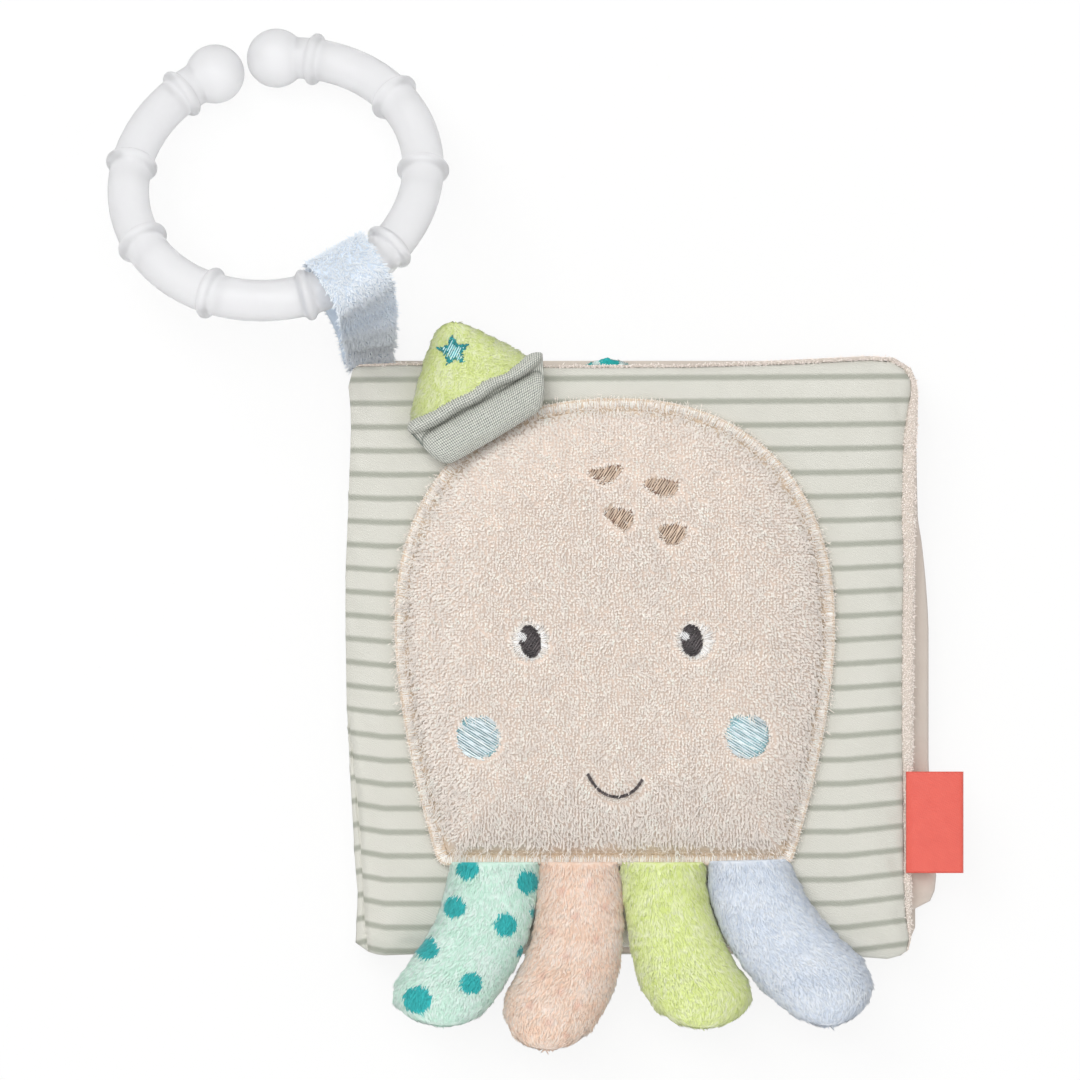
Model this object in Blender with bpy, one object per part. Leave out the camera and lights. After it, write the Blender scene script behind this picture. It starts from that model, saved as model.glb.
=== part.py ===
"""Crinkle cloth book: two padded covers and a page, a stuffed sea creature, a strap and a clip ring.

Lengths are metres. The book lies on its back cover, +Z is up, +Y is the top of the page and the spine
is at -X. The origin is the middle of the back cover's flat underside.
"""

from dataclasses import dataclass
from math import asin, cos, pi, radians, sin, sqrt

import bmesh
import bpy
from mathutils import Matrix, Vector

MM = 0.001

# Book leaves
COVER_WIDTH = 108.4 * MM
COVER_HEIGHT = 116.0 * MM
COVER_THICKNESS = 6.0 * MM
COVER_CORNER = 5.0 * MM
LINING_MARGIN_RIGHT = 2.2 * MM
LINING_MARGIN_TOP = 1.0 * MM
PAGE_THICKNESS = 4.5 * MM
PAGE_CORNER = 6.5 * MM
PAGE_SPINE_OVERRUN = 1.6 * MM
PAGE_RIGHT_OVERRUN = 5.2 * MM
PAGE_BOTTOM_SETBACK = 9.0 * MM
PAGE_TOP_SETBACK = 6.0 * MM
LEAF_GAP = 0.4 * MM
CLOTH = 0.6 * MM
FILM = 0.2 * MM
FILM_INSET = 10.0 * MM
LAYER_GAP = 0.3 * MM
DRAWN_EDGE = 14.0 * MM

# Spine cloth
SPINE_CLOTH = 0.8 * MM
SPINE_SETBACK = 3.0 * MM
SPINE_FOOT = 0.8 * MM

# Page tab
TAB_RADIUS = 6.4 * MM
TAB_THICKNESS = 1.6 * MM
TAB_LEFT_OF_MIDDLE = 4.1 * MM

# Red label
LABEL_LENGTH = 10.9 * MM
LABEL_HEIGHT = 19.8 * MM
LABEL_TAPE = 0.4 * MM
LABEL_BELOW_MIDDLE = 31.5 * MM

# Head
HEAD_WIDTH = 86.0 * MM
HEAD_HEIGHT = 91.3 * MM
HEAD_THICKNESS = 8.4 * MM
HEAD_RAISE = 18.0 * MM
HEAD_LEFT_OF_MIDDLE = 2.6 * MM
HEAD_EDGE = 9.0 * MM
TERRY = 1.2 * MM
BORDER_WIDTH = 2.6 * MM
BORDER_THICKNESS = 1.3 * MM
HEAD_ROUNDNESS = 2.3
HEAD_CHIN_SHARE = 0.8
HEAD_CHIN_CURVE = 1.6

# Embroidery
THREAD_PAD = 0.5 * MM
MOUTH_WIDTH = 10.6 * MM
MOUTH_DEPTH = 4.2 * MM
MOUTH_THREAD = 0.8 * MM
PUPIL_WIDTH = 4.0 * MM
PUPIL_HEIGHT = 6.4 * MM
EYE_WHITE_WIDTH = 7.0 * MM
EYE_WHITE_HEIGHT = 7.6 * MM
CHEEK_SIZE = 8.8 * MM
UPPER_SPOT_WIDTH = 7.4 * MM
UPPER_SPOT_HEIGHT = 4.4 * MM
LOWER_SPOT_WIDTH = 6.4 * MM
LOWER_SPOT_HEIGHT = 5.4 * MM

# Arms
ARM_GAP = 0.9 * MM
ARM_ROW_INSET = 1.6 * MM
ARM_ROW_SHIFT = 1.1 * MM
ARM_ROOT_THICKNESS = 2.6 * MM
ARM_THICKNESS = 8.0 * MM
ARM_TIP_RADIUS = 10.1 * MM
ARM_DROOP = 2.4 * MM
MINT_ARM_REACH = 22.4 * MM
MINT_ARM_SWAY = -9.2 * MM
PEACH_ARM_REACH = 27.0 * MM
PEACH_ARM_SWAY = -4.5 * MM
LIME_ARM_REACH = 24.4 * MM
LIME_ARM_SWAY = 6.2 * MM
BLUE_ARM_REACH = 22.9 * MM
BLUE_ARM_SWAY = 14.2 * MM
PLUSH = 0.7 * MM

# Hat
BRIM_LENGTH = 31.4 * MM
BRIM_WIDTH = 10.2 * MM
BRIM_THICKNESS = 3.0 * MM
BRIM_TURN = radians(26.5)
BRIM_TILT = radians(-12.5)
HAT_LEFT_OF_MIDDLE = 28.5 * MM
HAT_BELOW_HEAD_TOP = 2.7 * MM
HAT_RISE = 4.6 * MM
CROWN_ROOT_WIDTH = 23.6 * MM
CROWN_TIP_RADIUS = 3.6 * MM
CROWN_REACH = 9.6 * MM
CROWN_THICKNESS = 7.0 * MM
STAR_RADIUS = 3.2 * MM

# Clip ring
RING_RADIUS = 29.0 * MM
RING_TUBE = 8.1 * MM
RIB_DIAMETER = 10.3 * MM
RIB_WIDTH = 2.5 * MM
BALL_DIAMETER = 11.7 * MM
BALL_GAP = 0.45 * MM
RING_LEFT_OF_MIDDLE = 68.7 * MM
RING_ABOVE_TOP = 36.0 * MM
RING_TURN = radians(12.9)
RING_TILT = radians(35.0)
RING_MOUTH = radians(92.0)
RIB_COUNT = 9

# Strap
STRAP_WIDTH = 12.0 * MM
STRAP_FOOT_WIDTH = 8.2 * MM
STRAP_THICKNESS = 1.8 * MM
STRAP_CLEARANCE = 1.1 * MM
STRAP_PINCH = 14.0 * MM
STRAP_ANGLE = radians(-69.8)
STRAP_FOOT_RIGHT_OF_EDGE = 3.2 * MM

# How the drawn-in edge of a padded leaf rises: share of the edge's width, share of its height
LEAF_RISE_SHARES = ((0.0, 0.0), (0.1, 0.5), (0.35, 0.8), (0.65, 0.94), (1.0, 1.0))
HEAD_RISE_SHARES = ((0.0, 0.12), (0.1, 0.5), (0.35, 0.82), (0.65, 0.95), (1.0, 1.0))
# The rings of those profiles that the inner side of a wall and a filling keep
INNER_RINGS = (0, 2, 4)

BACK_COVER_TOP = COVER_THICKNESS
PAGE_BOTTOM = BACK_COVER_TOP + LEAF_GAP
PAGE_TOP = PAGE_BOTTOM + PAGE_THICKNESS
FRONT_COVER_BOTTOM = PAGE_TOP + LEAF_GAP
FRONT_COVER_TOP = FRONT_COVER_BOTTOM + COVER_THICKNESS
FRONT_SEAM = FRONT_COVER_BOTTOM + COVER_THICKNESS / 2
PAGE_SEAM = PAGE_BOTTOM + PAGE_THICKNESS / 2
BACK_SEAM = COVER_THICKNESS / 2
COVER_LEFT = -COVER_WIDTH / 2
COVER_RIGHT = COVER_WIDTH / 2
COVER_TOP_Y = COVER_HEIGHT / 2
COVER_BOTTOM_Y = -COVER_HEIGHT / 2
PAGE_LEFT = COVER_LEFT - PAGE_SPINE_OVERRUN
PAGE_RIGHT = COVER_RIGHT + PAGE_RIGHT_OVERRUN
PAGE_TOP_Y = COVER_TOP_Y - PAGE_TOP_SETBACK
PAGE_BOTTOM_Y = COVER_BOTTOM_Y + PAGE_BOTTOM_SETBACK
SPINE_INNER_X = PAGE_LEFT - LAYER_GAP
SPINE_OUTER_X = SPINE_INNER_X - SPINE_CLOTH
HINGE_X = (SPINE_INNER_X + SPINE_OUTER_X) / 2
HEAD_BASE = FRONT_COVER_TOP + LAYER_GAP
HEAD_TOP = HEAD_BASE + HEAD_THICKNESS
HEAD_BOTTOM_Y = COVER_BOTTOM_Y + HEAD_RAISE
HEAD_TOP_Y = HEAD_BOTTOM_Y + HEAD_HEIGHT
PAGE_HINGE_Z = (PAGE_TOP + FRONT_COVER_BOTTOM) / 2

# Counts and shares of the round shapes
LIMB_STEPS = 6
LIMB_SIDES = 14
LIMB_CAP_SHARES = (0.35, 0.65, 0.87, 0.98)
LIMB_CAP_DEPTH_SHARE = 0.8
THINNEST_SHARE = 0.3
BORDER_BAND_SHARES = ((0.0, 0.0), (0.0, 0.6), (0.3, 1.0), (0.7, 1.0), (1.0, 0.6), (1.0, 0.0))
MOUTH_UP_SHARE = 0.148
FILLING_SKIPPED_STEPS = 2
ARM_WIDENING = 2.2
CROWN_LEAN_SHARE = 0.12
CROWN_TAPER = 1.5
CROWN_THINNING_SHARE = 0.25
BRIM_PROFILE_SHARES = (
    (-0.50, -0.25), (-0.50, 0.20), (-0.20, 0.45), (0.10, 0.30), (0.20, 0.55), (0.35, 1.00),
    (0.47, 0.75), (0.50, 0.10), (0.45, -0.50), (0.10, -0.80), (-0.20, -0.75),
)
BRIM_END_SHARES = (
    (-1.0, 0.72), (-0.93, 0.96), (-0.45, 1.0), (0.0, 0.97), (0.45, 1.0), (0.93, 0.96), (1.0, 0.72),
)
STAR_PLACE_SHARE = 0.72
STAR_POINTS = 5
STAR_WAIST_SHARE = 0.55
RING_SIDES = 14
BALL_STEP_SHARES = (-0.995, -0.93, -0.75, -0.45, -0.1, 0.3, 0.58)
END_SPAN_SHARE = 1.6
RIB_SHARES = ((-1.0, 0.0), (-0.75, 0.8), (0.0, 1.0), (0.75, 0.8), (1.0, 0.0))
SPAN_STEP_SHARES = (0.3, 0.5, 0.7)
STRAP_TAIL_STEPS = 8
STRAP_ARC_STEPS = 12
STRAP_SECTION_SHARES = ((1.0, 0.0), (0.88, 1.0), (-0.88, 1.0), (-1.0, 0.0), (-0.88, -1.0), (0.88, -1.0))


@dataclass(frozen=True)
class Colour:
    """A material's name, linear base colour and roughness."""

    name: str
    rgb: tuple
    roughness: float = 0.9


STRIPED = Colour("striped_cotton", (0.68, 0.71, 0.65))
CREAM = Colour("cream_cotton", (0.83, 0.76, 0.70))
WADDING = Colour("polyester_wadding", (0.88, 0.88, 0.87))
FOIL = Colour("crinkle_film", (0.80, 0.82, 0.84), 0.3)
TERRY_CLOTH = Colour("beige_terry", (0.76, 0.66, 0.58))
EDGE_THREAD = Colour("edge_thread", (0.66, 0.54, 0.44))
WHITE_THREAD = Colour("white_thread", (0.86, 0.86, 0.85))
DARK_THREAD = Colour("dark_thread", (0.06, 0.05, 0.05))
BROWN_THREAD = Colour("brown_thread", (0.32, 0.25, 0.20))
BLUE_THREAD = Colour("blue_thread", (0.38, 0.64, 0.71))
TEAL_THREAD = Colour("teal_thread", (0.02, 0.34, 0.38))
MINT = Colour("mint_plush", (0.55, 0.80, 0.70))
PEACH = Colour("peach_plush", (0.96, 0.69, 0.54))
LIME = Colour("lime_plush", (0.65, 0.76, 0.24))
BLUE = Colour("blue_plush", (0.59, 0.69, 0.82))
LINEN = Colour("grey_green_linen", (0.38, 0.46, 0.42))
RED_TAPE = Colour("red_woven_tape", (0.86, 0.07, 0.05), 0.6)
CLEAR = Colour("clear_plastic", (0.85, 0.85, 0.85), 0.15)


@dataclass(frozen=True)
class Arm:
    """One arm: its share of the row, and how far its tip lies down and sideways from its root."""

    name: str
    root_share: float
    reach: float
    sway: float
    bend_share: float
    colour: Colour


ARMS = (
    Arm("mint", 0.262, MINT_ARM_REACH, MINT_ARM_SWAY, 0.55, MINT),
    Arm("peach", 0.238, PEACH_ARM_REACH, PEACH_ARM_SWAY, 0.52, PEACH),
    Arm("lime", 0.254, LIME_ARM_REACH, LIME_ARM_SWAY, 0.68, LIME),
    Arm("blue", 0.246, BLUE_ARM_REACH, BLUE_ARM_SWAY, 0.44, BLUE),
)


@dataclass(frozen=True)
class Pad:
    """One embroidered pad: its place as shares of the head's half width and height, and its size."""

    name: str
    across_share: float
    up_share: float
    width: float
    height: float
    flat_top_share: float
    level: int
    colour: Colour


PADS = (
    Pad("eye_white_left", -0.372, 0.481, EYE_WHITE_WIDTH, EYE_WHITE_HEIGHT, 1.0, 0, WHITE_THREAD),
    Pad("eye_white_right", 0.372, 0.483, EYE_WHITE_WIDTH, EYE_WHITE_HEIGHT, 1.0, 0, WHITE_THREAD),
    Pad("pupil_left", -0.389, 0.481, PUPIL_WIDTH, PUPIL_HEIGHT, 1.0, 1, DARK_THREAD),
    Pad("pupil_right", 0.349, 0.483, PUPIL_WIDTH, PUPIL_HEIGHT, 1.0, 1, DARK_THREAD),
    Pad("cheek_left", -0.619, 0.276, CHEEK_SIZE, CHEEK_SIZE, 0.9, 0, BLUE_THREAD),
    Pad("cheek_right", 0.600, 0.280, CHEEK_SIZE, CHEEK_SIZE, 0.9, 0, BLUE_THREAD),
    Pad("forehead_spot_1", -0.039, 0.842, UPPER_SPOT_WIDTH, UPPER_SPOT_HEIGHT, 0.5, 0, BROWN_THREAD),
    Pad("forehead_spot_2", 0.220, 0.814, UPPER_SPOT_WIDTH, UPPER_SPOT_HEIGHT, 0.5, 0, BROWN_THREAD),
    Pad("forehead_spot_3", 0.025, 0.745, LOWER_SPOT_WIDTH, LOWER_SPOT_HEIGHT, 0.5, 0, BROWN_THREAD),
    Pad("forehead_spot_4", 0.261, 0.713, LOWER_SPOT_WIDTH, LOWER_SPOT_HEIGHT, 0.5, 0, BROWN_THREAD),
)


# Building meshes


def material(colour):
    """The Principled material of one colour, made once."""
    found = bpy.data.materials.get(colour.name)
    if found:
        return found
    made = bpy.data.materials.new(colour.name)
    made.use_nodes = True
    shader = made.node_tree.nodes["Principled BSDF"]
    shader.inputs["Base Color"].default_value = (*colour.rgb, 1.0)
    shader.inputs["Roughness"].default_value = colour.roughness
    shader.inputs["Metallic"].default_value = 0.0
    return made


def place_in_scene(name, mesh, colour, pivot=None):
    """Links a mesh whose points are world places, and hangs it on its joint's empty."""
    mesh.shade_smooth()
    mesh.set_sharp_from_angle(angle=radians(50))
    piece = bpy.data.objects.new(name, mesh)
    bpy.context.scene.collection.objects.link(piece)
    mesh.materials.append(material(colour))
    if pivot:
        piece.parent = pivot
        piece.matrix_parent_inverse = Matrix.Translation(-pivot.location)
    return piece


def joint_empty(name, place):
    """An empty on a joint's axis, which carries the pieces of one moving body."""
    empty = bpy.data.objects.new(name, None)
    empty.location = place
    bpy.context.scene.collection.objects.link(empty)
    return empty


def lofted(name, rings, colour, pivot=None, joined=False):
    """A closed solid through rings of as many points each: capped at both ends, or joined end to end."""
    shape = bmesh.new()
    loops = [[shape.verts.new(point) for point in ring] for ring in rings]
    following = loops[1:] + loops[:1] if joined else loops[1:]
    for low, high in zip(loops, following):
        for i, corner in enumerate(low):
            j = (i + 1) % len(low)
            shape.faces.new((corner, low[j], high[j], high[i]))
    if not joined:
        shape.faces.new(loops[0])
        shape.faces.new(loops[-1])
    bmesh.ops.recalc_face_normals(shape, faces=shape.faces)
    mesh = bpy.data.meshes.new(name)
    shape.to_mesh(mesh)
    shape.free()
    return place_in_scene(name, mesh, colour, pivot)


def rounded_outline(left, right, bottom, top, corner):
    """Points round a rectangle with round corners, anticlockwise."""
    corner_steps, side_steps = 4, 5
    radius = min(corner, (right - left) / 2, (top - bottom) / 2)
    centres = (
        (right - radius, bottom + radius, -pi / 2),
        (right - radius, top - radius, 0.0),
        (left + radius, top - radius, pi / 2),
        (left + radius, bottom + radius, pi),
    )
    arcs = [
        [
            Vector((x + radius * cos(a), y + radius * sin(a)))
            for a in (start + pi / 2 * step / corner_steps for step in range(corner_steps + 1))
        ]
        for x, y, start in centres
    ]
    points = []
    for arc, following in zip(arcs, arcs[1:] + arcs[:1]):
        points += arc
        points += [arc[-1].lerp(following[0], step / side_steps) for step in range(1, side_steps)]
    return points


def shrunk(outline, inset):
    """An outline drawn in by the same distance on each side of its box."""
    low = Vector((min(p.x for p in outline), min(p.y for p in outline)))
    high = Vector((max(p.x for p in outline), max(p.y for p in outline)))
    middle, half = (low + high) / 2, (high - low) / 2
    kept = Vector(((half.x - inset) / half.x, (half.y - inset) / half.y))
    return [middle + (point - middle) * kept for point in outline]


def level(outline, height):
    """A flat ring of an outline's points at one height."""
    return [Vector((p.x, p.y, height)) for p in outline]


def dome_rings(outline, base, rise, edge, shares, inset=0.0, keep=None):
    """Rings from an outline's rim up, or down where rise is negative, to the flat middle of a pad."""
    kept = shares if keep is None else [shares[i] for i in keep]
    lost = inset if rise > 0 else -inset
    rings = []
    for across, up in kept:
        height = rise * up - lost
        if height * rise < 0:
            height = 0.0
        rings.append(level(shrunk(outline, inset + edge * across), base + height))
    return rings


# Leaves of the book


def cloth_tray(name, outline, rim, face, colour, pivot):
    """One cloth of a leaf: a shallow tray with a drawn-in edge, open at its rim."""
    rise = face - rim
    outer = dome_rings(outline, rim, rise, DRAWN_EDGE, LEAF_RISE_SHARES)
    inner = dome_rings(outline, rim, rise, DRAWN_EDGE, LEAF_RISE_SHARES, CLOTH, INNER_RINGS)
    lofted(name, inner[::-1] + outer, colour, pivot)


def wadding_pad(name, outline, seam, top, bottom, pivot):
    """The padding of a leaf, crowned on both sides."""
    inset = CLOTH + LAYER_GAP
    halves = []
    for face, start in ((top, seam + LAYER_GAP / 2), (bottom, seam - LAYER_GAP / 2)):
        rise = face - start
        halves.append(dome_rings(outline, start, rise, DRAWN_EDGE, LEAF_RISE_SHARES, inset, INNER_RINGS))
    upper, lower = halves
    lofted(name, lower[::-1] + upper, WADDING, pivot)


def crinkle_film(name, outline, bottom, pivot):
    """The plastic film in a leaf, a flat sheet."""
    sheet = shrunk(outline, FILM_INSET)
    lofted(name, [level(sheet, bottom), level(sheet, bottom + FILM)], FOIL, pivot)


def cover_outline(right_margin=0.0, top_margin=0.0):
    """A cover's outline, wider at its right and top where the lining stands out."""
    return rounded_outline(
        COVER_LEFT, COVER_RIGHT + right_margin, COVER_BOTTOM_Y, COVER_TOP_Y + top_margin, COVER_CORNER
    )


def make_back_cover():
    """The back cover, which is the part's fixed body."""
    outline, lining_outline = cover_outline(), cover_outline(LINING_MARGIN_RIGHT, LINING_MARGIN_TOP)
    half_gap = LAYER_GAP / 2
    film_bottom = BACK_COVER_TOP - CLOTH - 2 * LAYER_GAP - FILM
    wadding_top = film_bottom + CLOTH
    cloth_tray("back_cover_fabric", outline, BACK_SEAM - half_gap, 0.0, STRIPED, None)
    wadding_pad("back_cover_wadding", outline, BACK_SEAM, wadding_top, 0.0, None)
    crinkle_film("back_cover_crinkle_film", outline, film_bottom, None)
    cloth_tray("back_cover_lining", lining_outline, BACK_SEAM + half_gap, BACK_COVER_TOP, CREAM, None)


def make_front_cover(pivot):
    """The front cover, whose lining shows beyond its striped cloth at the right and the top."""
    outline, lining_outline = cover_outline(), cover_outline(LINING_MARGIN_RIGHT, LINING_MARGIN_TOP)
    half_gap = LAYER_GAP / 2
    film_bottom = FRONT_COVER_BOTTOM + CLOTH + 2 * LAYER_GAP
    wadding_bottom = film_bottom + FILM - CLOTH
    cloth_tray("front_cover_lining", lining_outline, FRONT_SEAM - half_gap, FRONT_COVER_BOTTOM, CREAM, pivot)
    crinkle_film("front_cover_crinkle_film", outline, film_bottom, pivot)
    wadding_pad("front_cover_wadding", outline, FRONT_SEAM, FRONT_COVER_TOP, wadding_bottom, pivot)
    cloth_tray("front_cover_fabric", outline, FRONT_SEAM + half_gap, FRONT_COVER_TOP, STRIPED, pivot)


def make_page(pivot):
    """The page: two cream cloths with wadding and film between them."""
    outline = rounded_outline(PAGE_LEFT, PAGE_RIGHT, PAGE_BOTTOM_Y, PAGE_TOP_Y, PAGE_CORNER)
    half_gap = LAYER_GAP / 2
    film_bottom = PAGE_TOP - CLOTH - 2 * LAYER_GAP - FILM
    wadding_top = film_bottom + CLOTH
    cloth_tray("page_back_fabric", outline, PAGE_SEAM - half_gap, PAGE_BOTTOM, CREAM, pivot)
    wadding_pad("page_wadding", outline, PAGE_SEAM, wadding_top, PAGE_BOTTOM, pivot)
    crinkle_film("page_crinkle_film", outline, film_bottom, pivot)
    cloth_tray("page_front_fabric", outline, PAGE_SEAM + half_gap, PAGE_TOP, CREAM, pivot)


def make_tab(pivot):
    """The dotted tab in the page's top seam, a tongue with a round end."""
    steps = 10
    root_y = PAGE_TOP_Y + LAYER_GAP
    centre_y = root_y + LAYER_GAP
    middle_x = -TAB_LEFT_OF_MIDDLE
    outline = [Vector((middle_x + TAB_RADIUS, root_y))]
    outline += [
        Vector((middle_x + TAB_RADIUS * cos(a), centre_y + TAB_RADIUS * sin(a)))
        for a in (pi * step / steps for step in range(steps + 1))
    ]
    outline.append(Vector((middle_x - TAB_RADIUS, root_y)))
    half = TAB_THICKNESS / 2
    thin = shrunk(outline, half)
    rings = [level(thin, PAGE_SEAM - half), level(outline, PAGE_SEAM), level(thin, PAGE_SEAM + half)]
    lofted("page_tab", rings, MINT, pivot)


def spine_strip(name, path, pivot):
    """A strip of spine cloth: a path of (x, z) along its middle, thick to the left, run down the spine."""
    ends = (COVER_TOP_Y - SPINE_SETBACK, COVER_BOTTOM_Y + SPINE_SETBACK)
    section = []
    for side in (-SPINE_CLOTH / 2, SPINE_CLOTH / 2):
        wall = []
        for i, (x, z) in enumerate(path):
            before, after = path[max(i - 1, 0)], path[min(i + 1, len(path) - 1)]
            run = Vector((after[0] - before[0], after[1] - before[1])).normalized()
            wall.append((x - run.y * side, z + run.x * side))
        section += wall if side < 0 else wall[::-1]
    lofted(name, [[Vector((x, y, z)) for x, z in section] for y in ends], STRIPED, pivot)


def make_spine(back_pivot, front_pivot):
    """The spine cloth in two halves, which meet at the page's seam."""
    middle_x = HINGE_X
    foot_x = COVER_LEFT - LAYER_GAP - SPINE_CLOTH / 2
    half_gap = LAYER_GAP / 2
    back = (
        (foot_x, BACK_SEAM - SPINE_FOOT),
        ((foot_x + middle_x) / 2, BACK_SEAM + SPINE_FOOT),
        (middle_x, BACK_SEAM + 2 * SPINE_FOOT),
        (middle_x, PAGE_SEAM - half_gap),
    )
    front = (
        (middle_x, PAGE_SEAM + half_gap),
        (middle_x, FRONT_SEAM - 2 * SPINE_FOOT),
        ((foot_x + middle_x) / 2, FRONT_SEAM - SPINE_FOOT),
        (foot_x, FRONT_SEAM + SPINE_FOOT),
    )
    spine_strip("spine_back_half", back, back_pivot)
    spine_strip("spine_front_half", front, front_pivot)


def make_label(pivot):
    """The red tape, folded in half, which stands out of the front cover's right seam."""
    inner = COVER_RIGHT + LAYER_GAP
    outer = inner + LABEL_LENGTH
    low = FRONT_SEAM + LAYER_GAP
    high = low + 2 * LABEL_TAPE + LAYER_GAP
    fold = outer - LABEL_TAPE
    section = (
        (inner, low),
        (fold, low),
        (outer, (low + high) / 2),
        (fold, high),
        (inner, high),
        (inner, high - LABEL_TAPE),
        (fold - LABEL_TAPE, high - LABEL_TAPE),
        (fold - LABEL_TAPE, low + LABEL_TAPE),
        (inner, low + LABEL_TAPE),
    )
    middle = -LABEL_BELOW_MIDDLE
    ends = (middle - LABEL_HEIGHT / 2, middle + LABEL_HEIGHT / 2)
    lofted("side_label", [[Vector((x, y, z)) for x, z in section] for y in ends], RED_TAPE, pivot)


# Sea creature


def head_half_width(up_share):
    """The head's half width at a share of its height: straight-sided below, a round dome above."""
    if up_share > 0.5:
        rest = max(1.0 - (2.0 * up_share - 1.0) ** HEAD_ROUNDNESS, 0.0)
        return HEAD_WIDTH / 2 * rest ** (1.0 / HEAD_ROUNDNESS)
    drop = (1.0 - 2.0 * up_share) ** HEAD_CHIN_CURVE
    return HEAD_WIDTH / 2 * (1.0 - (1.0 - HEAD_CHIN_SHARE) * drop)


def head_outline():
    """Points round the head, anticlockwise from its bottom left, with the flat bottom first."""
    bottom_steps, side_steps, dome_steps = 6, 6, 10
    up_shares = [0.5 * step / side_steps for step in range(side_steps)]
    up_shares += [0.5 + 0.5 * sin(pi / 2 * step / dome_steps) for step in range(dome_steps)]
    middle = -HEAD_LEFT_OF_MIDDLE
    chin = head_half_width(0.0)
    bottom = [
        Vector((middle + chin * (2.0 * step / bottom_steps - 1.0), HEAD_BOTTOM_Y))
        for step in range(1, bottom_steps)
    ]
    right = [Vector((middle + head_half_width(s), HEAD_BOTTOM_Y + HEAD_HEIGHT * s)) for s in up_shares]
    top = [Vector((middle, HEAD_TOP_Y))]
    left = [Vector((2.0 * middle - p.x, p.y)) for p in reversed(right)]
    return bottom + right + top + left


def make_head(pivot):
    """The terry head, its filling and the thread border round it."""
    outline = head_outline()
    terry_outline = shrunk(outline, BORDER_WIDTH + LAYER_GAP)
    rise = HEAD_TOP - HEAD_BASE
    outer = dome_rings(terry_outline, HEAD_BASE, rise, HEAD_EDGE, HEAD_RISE_SHARES)
    inner = dome_rings(terry_outline, HEAD_BASE, rise, HEAD_EDGE, HEAD_RISE_SHARES, TERRY, INNER_RINGS)
    rim = [level(shrunk(terry_outline, TERRY), HEAD_BASE), level(terry_outline, HEAD_BASE)]
    lofted("head_terry", inner[::-1] + rim + outer, TERRY_CLOTH, pivot)
    inset = TERRY + LAYER_GAP
    filling = dome_rings(terry_outline, HEAD_BASE, rise, HEAD_EDGE, HEAD_RISE_SHARES, inset, INNER_RINGS[1:])
    foot = level(shrunk(terry_outline, inset + LAYER_GAP), HEAD_BASE)
    lofted("head_filling", [foot] + filling, WADDING, pivot)
    make_border(outline, pivot)


def make_border(outline, pivot):
    """The thread border: a low band round the head, with a rounded top."""
    rings = [
        level(shrunk(outline, BORDER_WIDTH * across), HEAD_BASE + BORDER_THICKNESS * up)
        for across, up in BORDER_BAND_SHARES
    ]
    lofted("head_edge_stitch", rings, EDGE_THREAD, pivot, joined=True)


def make_pad(pad, pivot):
    """One embroidered pad with a rounded edge, on the head or on the pad under it."""
    steps = 16
    middle = Vector((
        -HEAD_LEFT_OF_MIDDLE + pad.across_share * HEAD_WIDTH / 2,
        HEAD_BOTTOM_Y + pad.up_share * HEAD_HEIGHT,
    ))
    outline = []
    for step in range(steps):
        angle = 2 * pi * step / steps
        up = sin(angle) * (pad.flat_top_share if sin(angle) > 0 else 1.0)
        outline.append(middle + Vector((pad.width / 2 * cos(angle), pad.height / 2 * up)))
    low = HEAD_TOP + LAYER_GAP + pad.level * (THREAD_PAD + LAYER_GAP)
    rings = [
        level(outline, low),
        level(outline, low + THREAD_PAD / 2),
        level(shrunk(outline, THREAD_PAD), low + THREAD_PAD),
    ]
    lofted(pad.name, rings, pad.colour, pivot)


def make_mouth(pivot):
    """The smile, a round thread laid in an arc on the head."""
    steps, sides = 10, 6
    radius = MOUTH_THREAD / 2
    centre_y = HEAD_BOTTOM_Y + MOUTH_UP_SHARE * HEAD_HEIGHT
    height = HEAD_TOP + LAYER_GAP + radius
    rings = []
    for step in range(steps + 1):
        across = 2.0 * step / steps - 1.0
        run = Vector((MOUTH_WIDTH / 2, 2 * MOUTH_DEPTH * across)).normalized()
        x = -HEAD_LEFT_OF_MIDDLE + MOUTH_WIDTH / 2 * across
        y = centre_y + MOUTH_DEPTH * across**2
        rings.append([
            Vector((x - run.y * radius * cos(a), y + run.x * radius * cos(a), height + radius * sin(a)))
            for a in (2 * pi * side / sides for side in range(sides))
        ])
    lofted("mouth_stitch", rings, DARK_THREAD, pivot)


def curved_path(root, bend, tip):
    """Points and directions along a curve that leaves the root towards the bend and ends at the tip."""
    path = []
    for step in range(LIMB_STEPS + 1):
        t = step / LIMB_STEPS
        point = root * (1 - t) ** 2 + bend * 2 * t * (1 - t) + tip * t**2
        run = (bend - root) * (1 - t) + (tip - bend) * t
        path.append((point, run.normalized()))
    return path


def limb_rings(path, half_widths, half_thicknesses, heights, inset=0.0, first=0):
    """Oval rings along a stuffed limb, then a round end. All lists hold one entry for each path point."""
    stations = []
    for i in range(first, len(path)):
        width = max(half_widths[i] - inset, half_widths[i] * THINNEST_SHARE)
        thickness = max(half_thicknesses[i] - inset, half_thicknesses[i] * THINNEST_SHARE)
        stations.append((*path[i], width, thickness, heights[i]))
    tip, run, width, thickness, height = stations[-1]
    for cap_share in LIMB_CAP_SHARES:
        rest = sqrt(1.0 - cap_share**2)
        reach = width * LIMB_CAP_DEPTH_SHARE * cap_share
        stations.append((tip + run * reach, run, width * rest, thickness * rest, height))
    rings = []
    for place, run, width, thickness, height in stations:
        across = Vector((-run.y, run.x))
        ring = []
        for side in range(LIMB_SIDES):
            angle = 2 * pi * side / LIMB_SIDES
            spot = place + across * width * cos(angle)
            ring.append(Vector((spot.x, spot.y, height + thickness * sin(angle))))
        rings.append(ring)
    return rings


def swell(low, high, share):
    """A size that grows from low to high, fast at first."""
    return low + (high - low) * (1.0 - (1.0 - share) ** 2)


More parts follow.
